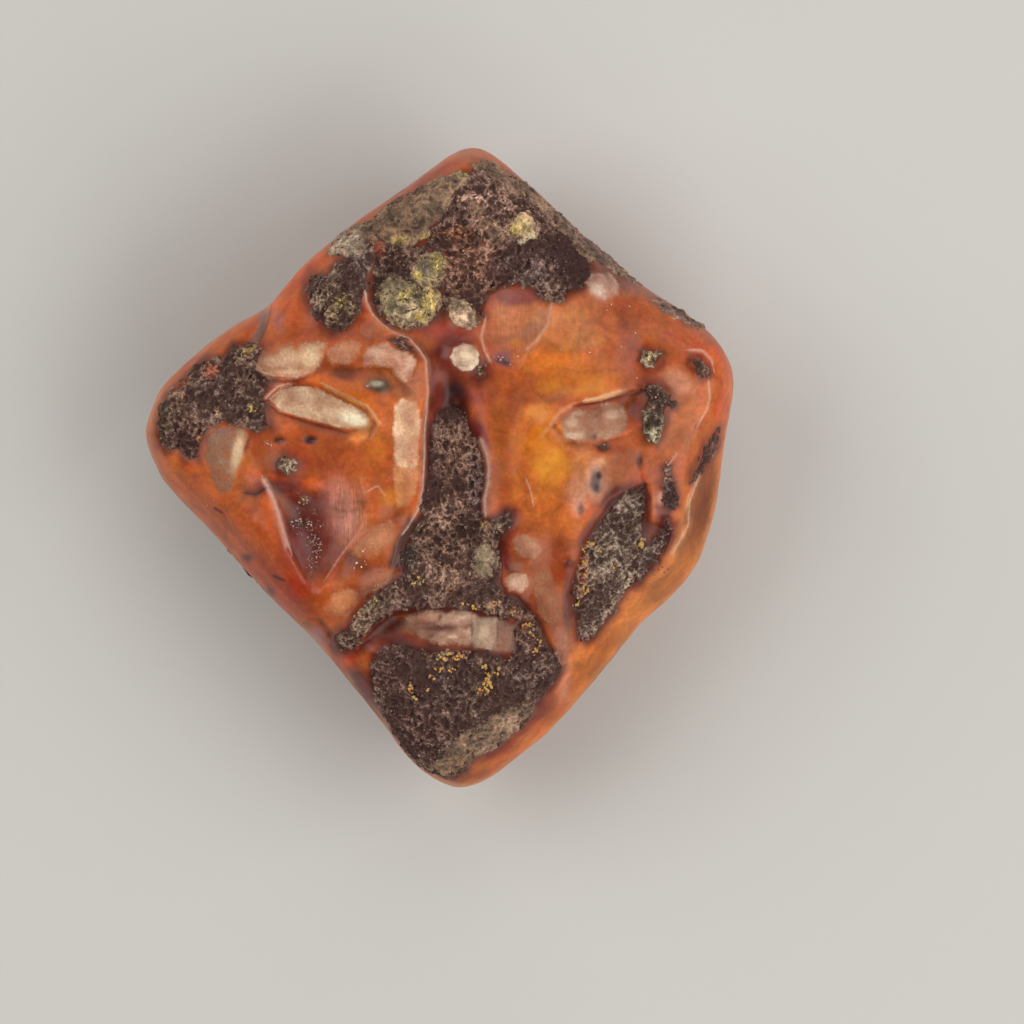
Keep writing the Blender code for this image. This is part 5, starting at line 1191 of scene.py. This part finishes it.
# Clusters of dust: centre, half lengths, turn, count, size, and which row of KINDS it is. Each
# is strewn so much wider and with so many more grains.
WIDER, MORE = 1.4, 1.2
CLUSTERS = [
    (0.3, -13.4, 0.35, 0.2, 0, 9, 0.12, 0), (1, -13.3, 0.4, 0.2, 0, 10, 0.13, 0),
    (1.6, -13.3, 0.3, 0.2, 0, 8, 0.12, 0), (0.9, -14.2, 0.2, 0.2, 0, 6, 0.1, 0),
    (0.1, -14.2, 0.25, 0.15, 0, 6, 0.1, 0), (-0.4, -14.7, 0.2, 0.15, 0, 4, 0.1, 0),
    (3.2, -14.1, 0.2, 0.15, 0, 5, 0.1, 0), (4.1, -14.3, 0.2, 0.2, 0, 5, 0.1, 0),
    (3.4, -14.7, 0.15, 0.2, 0, 5, 0.11, 0), (3.4, -15.4, 0.25, 0.4, 0, 14, 0.15, 0),
    (3.1, -15.8, 0.3, 0.2, 0, 8, 0.12, 0), (-2, -15.5, 0.1, 0.4, 15, 8, 0.11, 0),
    (-1.8, -16.1, 0.1, 0.4, 20, 7, 0.1, 0), (-0.8, -15.5, 0.1, 0.2, 0, 4, 0.09, 0),
    (6.8, -12.9, 0.2, 0.2, 0, 6, 0.12, 0), (6.2, -11, 0.2, 0.15, 0, 6, 0.12, 0),
    (6.6, -11.6, 0.15, 0.2, 0, 5, 0.11, 0), (3.5, -9.7, 0.3, 0.12, 0, 6, 0.1, 0),
    (4.1, -9.5, 0.25, 0.12, 0, 5, 0.1, 0), (2.5, -9.8, 0.3, 0.1, 0, 6, 0.1, 0),
    (1.9, -9.6, 0.2, 0.1, 0, 4, 0.1, 0), (5.4, -10.2, 0.3, 0.2, 30, 5, 0.1, 0),
    (1.4, -7.6, 0.15, 0.15, 0, 4, 0.09, 0), (0.7, -8.6, 0.2, 0.15, 0, 4, 0.09, 0),
    (7, -12.2, 0.15, 0.4, 0, 5, 0.09, 0), (10.3, -5.6, 0.15, 0.3, 0, 7, 0.11, 0),
    (10.7, -5.3, 0.15, 0.2, 0, 5, 0.1, 0), (10.3, -6.6, 0.12, 0.3, 0, 6, 0.1, 0),
    (10.3, -7.4, 0.12, 0.3, 0, 6, 0.1, 0), (10.2, -8.1, 0.12, 0.3, 0, 5, 0.1, 0),
    (10.4, -8.7, 0.15, 0.2, 0, 5, 0.1, 0), (9.8, -9.5, 0.12, 0.3, 0, 5, 0.09, 0),
    (11.3, -5.8, 0.2, 0.1, 0, 4, 0.09, 0), (12.4, -6.9, 0.15, 0.15, 0, 4, 0.09, 0),
    (14.4, -5.2, 0.12, 0.35, -25, 8, 0.14, 0), (-0.7, 11.9, 0.3, 0.8, 0, 20, 0.1, 1),
    (-0.1, 14.5, 0.25, 0.4, 0, 10, 0.1, 1), (-1.3, 13.5, 0.4, 0.2, 0, 8, 0.09, 1),
    (-2.3, 12.3, 0.6, 0.3, 20, 14, 0.09, 1), (-1.3, 10.7, 0.4, 0.25, 0, 9, 0.09, 1),
    (5.9, 17, 0.45, 0.4, 0, 9, 0.09, 1), (-6.9, 11.8, 0.3, 0.3, 0, 6, 0.09, 1),
    (-13.6, 8.2, 0.8, 0.15, 42, 14, 0.09, 1), (-13.1, 4.2, 0.3, 0.15, 0, 7, 0.09, 1),
    (15, 7.9, 0.25, 0.2, 0, 6, 0.1, 1), (-1.5, -8, 0.35, 0.2, 30, 7, 0.09, 1),
    (-4.8, -9.2, 1.6, 0.3, 48, 14, 0.08, 1), (-2.8, 16.3, 0.5, 0.25, 20, 7, 0.08, 1),
    (1, 16.6, 1.4, 0.5, 0, 12, 0.08, 2), (3.2, 15.6, 0.8, 0.6, 0, 8, 0.08, 2),
    (2.6, 19, 0.8, 0.6, 0, 8, 0.08, 2), (-5, -13.2, 0.6, 0.5, 0, 6, 0.08, 2),
    (-9.3, -3.8, 0.8, 1, 0, 56, 0.06, 4), (-8.9, -5.6, 0.4, 0.9, 0, 46, 0.06, 4),
    (-9, -7.2, 0.25, 0.4, 0, 18, 0.06, 4), (-10, -2.2, 0.6, 0.5, 0, 8, 0.05, 4),
    (-12.1, 1.8, 0.3, 0.15, -20, 5, 0.07, 3), (-5.6, -6.8, 0.4, 0.2, 20, 6, 0.08, 3),
    (4.4, 7.8, 0.25, 0.1, -30, 4, 0.07, 3), (-5, 6, 0.1, 0.15, 0, 3, 0.06, 3),
    (15.7, -7.3, 0.35, 0.5, -30, 8, 0.08, 2), (16.3, 0.6, 0.12, 0.5, -35, 6, 0.07, 3),
    (16, -0.5, 0.1, 0.35, 0, 4, 0.06, 3), (-4.9, -5.6, 0.5, 0.15, 30, 6, 0.07, 3),
    (-9.8, -3.9, 0.6, 0.25, -10, 22, 0.08, 5), (-8.7, -5.4, 0.3, 0.7, 10, 20, 0.08, 5),
    (-9.6, -2.3, 0.25, 0.3, 0, 9, 0.08, 5),
]
# Single pale specks on the bare resin.
SPECKS = [
    (12.2, 11.6), (11.9, 11.2), (13.5, 11.5), (12.2, 12.7), (12.9, 8.6), (8.7, 8.3), (10.7, 8.2),
    (11.8, 6.8), (-17.5, -0.8), (-15.9, -2.2), (-14.1, -5.5), (-10.3, -6.7), (-3.5, -0.6),
    (-5.2, -0.7), (6.3, -2), (5.3, -10.1), (5.6, 7.9), (8.6, 8.4), (-16.4, -2.6), (-13.9, -5.6),
    (4.35, 7.62), (4.4, 7.66), (3.9, 7.9), (5.05, 7.35), (-12.3, 1.9), (-12.2, 1.8),
    (-11.85, 1.55), (11.7, 1.7), (-9.4, 8.8), (-2.5, 9.3), (14, 6.4), (9.4, 11.4), (7.2, 5.2),
    (6.9, 1.2), (13.9, 9.6),
]
# Gold dust, yellow dust, resin dust, pale specks, mixed sand and pale sand: the finishes of each
# and their shares.
PALE_SPECKS = 3
KINDS = [
    [("gold_dust", 5), ("resin_chip", 1), ("yellow_dust", 2), ("beige_sand", 1)],
    [("yellow_dust", 5), ("pale_sand", 1), ("gold_dust", 1)],
    [("resin_chip", 3), ("brown_crumb", 1)],
    [("white_speck", 2), ("pale_sand", 2)],
    [("beige_sand", 3), ("brown_crumb", 2), ("pale_sand", 1)],
    [("pale_sand", 3), ("beige_sand", 2)],
]
tops = [
    BVHTree.FromObject(piece, bpy.context.evaluated_depsgraph_get())
    for piece in (lump, *rinds, packed_silt)
]


def surface_at(x, y):
    """Height of whatever lies uppermost there, in millimetres."""
    hits = [top.ray_cast(Vector((x, y, 30)) * MM, Vector((0, 0, -1)))[0] for top in tops]
    return max(hit.z for hit in hits if hit) / MM


places, sizes, kinds = [], [], []
for x, y, long, wide, turn, count, size, kind in CLUSTERS:
    for _ in range(round(MORE * count)):
        angle, far_out = dice.uniform(0, 6.28), math.sqrt(dice.uniform(0, 1))
        along = WIDER * long * far_out * math.cos(angle)
        across = WIDER * wide * far_out * math.sin(angle)
        turned = math.radians(turn)
        dx = along * math.cos(turned) - across * math.sin(turned)
        dy = along * math.sin(turned) + across * math.cos(turned)
        size_here = size * dice.uniform(0.5, 1.3)
        places.append((x + dx, y + dy, surface_at(x + dx, y + dy) + 0.3 * size_here))
        sizes.append(size_here)
        kinds.append(kind)
for x, y in SPECKS:
    places.append((x, y, surface_at(x, y)))
    sizes.append(dice.uniform(0.05, 0.09))
    kinds.append(PALE_SPECKS)
strew("dust_and_specks", places, sizes, kinds, KINDS)

# Table, lights and camera
#
# A plain pale table with a matt top, under four soft lamps in a dim white studio, seen from
# straight above with a long lens.

bpy.ops.mesh.primitive_plane_add(size=6)
table = bpy.context.object
table.name = "table"
matt, _, shader = new_material("matt_pale_table")
plug(shader, {"Base Color": (0.59, 0.58, 0.56, 1), "Roughness": 0.8})
table.data.materials.append(matt)

# Where each lamp stands, in metres, and its power in watts.
SOFTBOX_SIZE, WARM_WHITE = 0.5, (1.0, 0.98, 0.95)
for name, stands, power in [
    ("left_softbox", (-0.44, 0.14, 0.36), 2.0),
    ("right_softbox", (0.44, -0.02, 0.36), 1.9),
    ("back_softbox", (0.08, 0.45, 0.38), 1.0),
    ("front_softbox", (0.26, -0.40, 0.28), 1.5),
]:
    lamp = bpy.data.lights.new(name, "AREA")
    lamp.size, lamp.energy, lamp.color = SOFTBOX_SIZE, power, WARM_WHITE
    holder = put(name, lamp)
    holder.location = stands
    holder.rotation_euler = Vector(stands).to_track_quat("Z", "Y").to_euler()
    holder.visible_camera = False

world = bpy.data.worlds.new("studio")
world.use_nodes = True
plug(world.node_tree.nodes["Background"], {"Color": (1.0, 0.99, 0.97, 1), "Strength": 0.1})
bpy.context.scene.world = world
bpy.context.scene.view_settings.view_transform = "Standard"

# The view is so many pixels wide, with so many to the millimetre at the rim, and the origin
# falls at this pixel of it, counted from its upper left corner.
LENS, SENSOR, PIXELS, PER_MM = 300.0, 36.0, 1024, 14.0
ORIGIN_ACROSS, ORIGIN_DOWN = 439.5, 469.0
lens = bpy.data.cameras.new("camera")
lens.lens, lens.sensor_width = LENS, SENSOR
lens.clip_start, lens.clip_end = 0.05, 20
camera = put("camera", lens)
camera.location = [millimetres * MM for millimetres in (
    (PIXELS / 2 - ORIGIN_ACROSS) / PER_MM,
    (ORIGIN_DOWN - PIXELS / 2) / PER_MM,
    PIXELS / PER_MM * LENS / SENSOR + RIM_LEVEL,
)]
bpy.context.scene.camera = camera
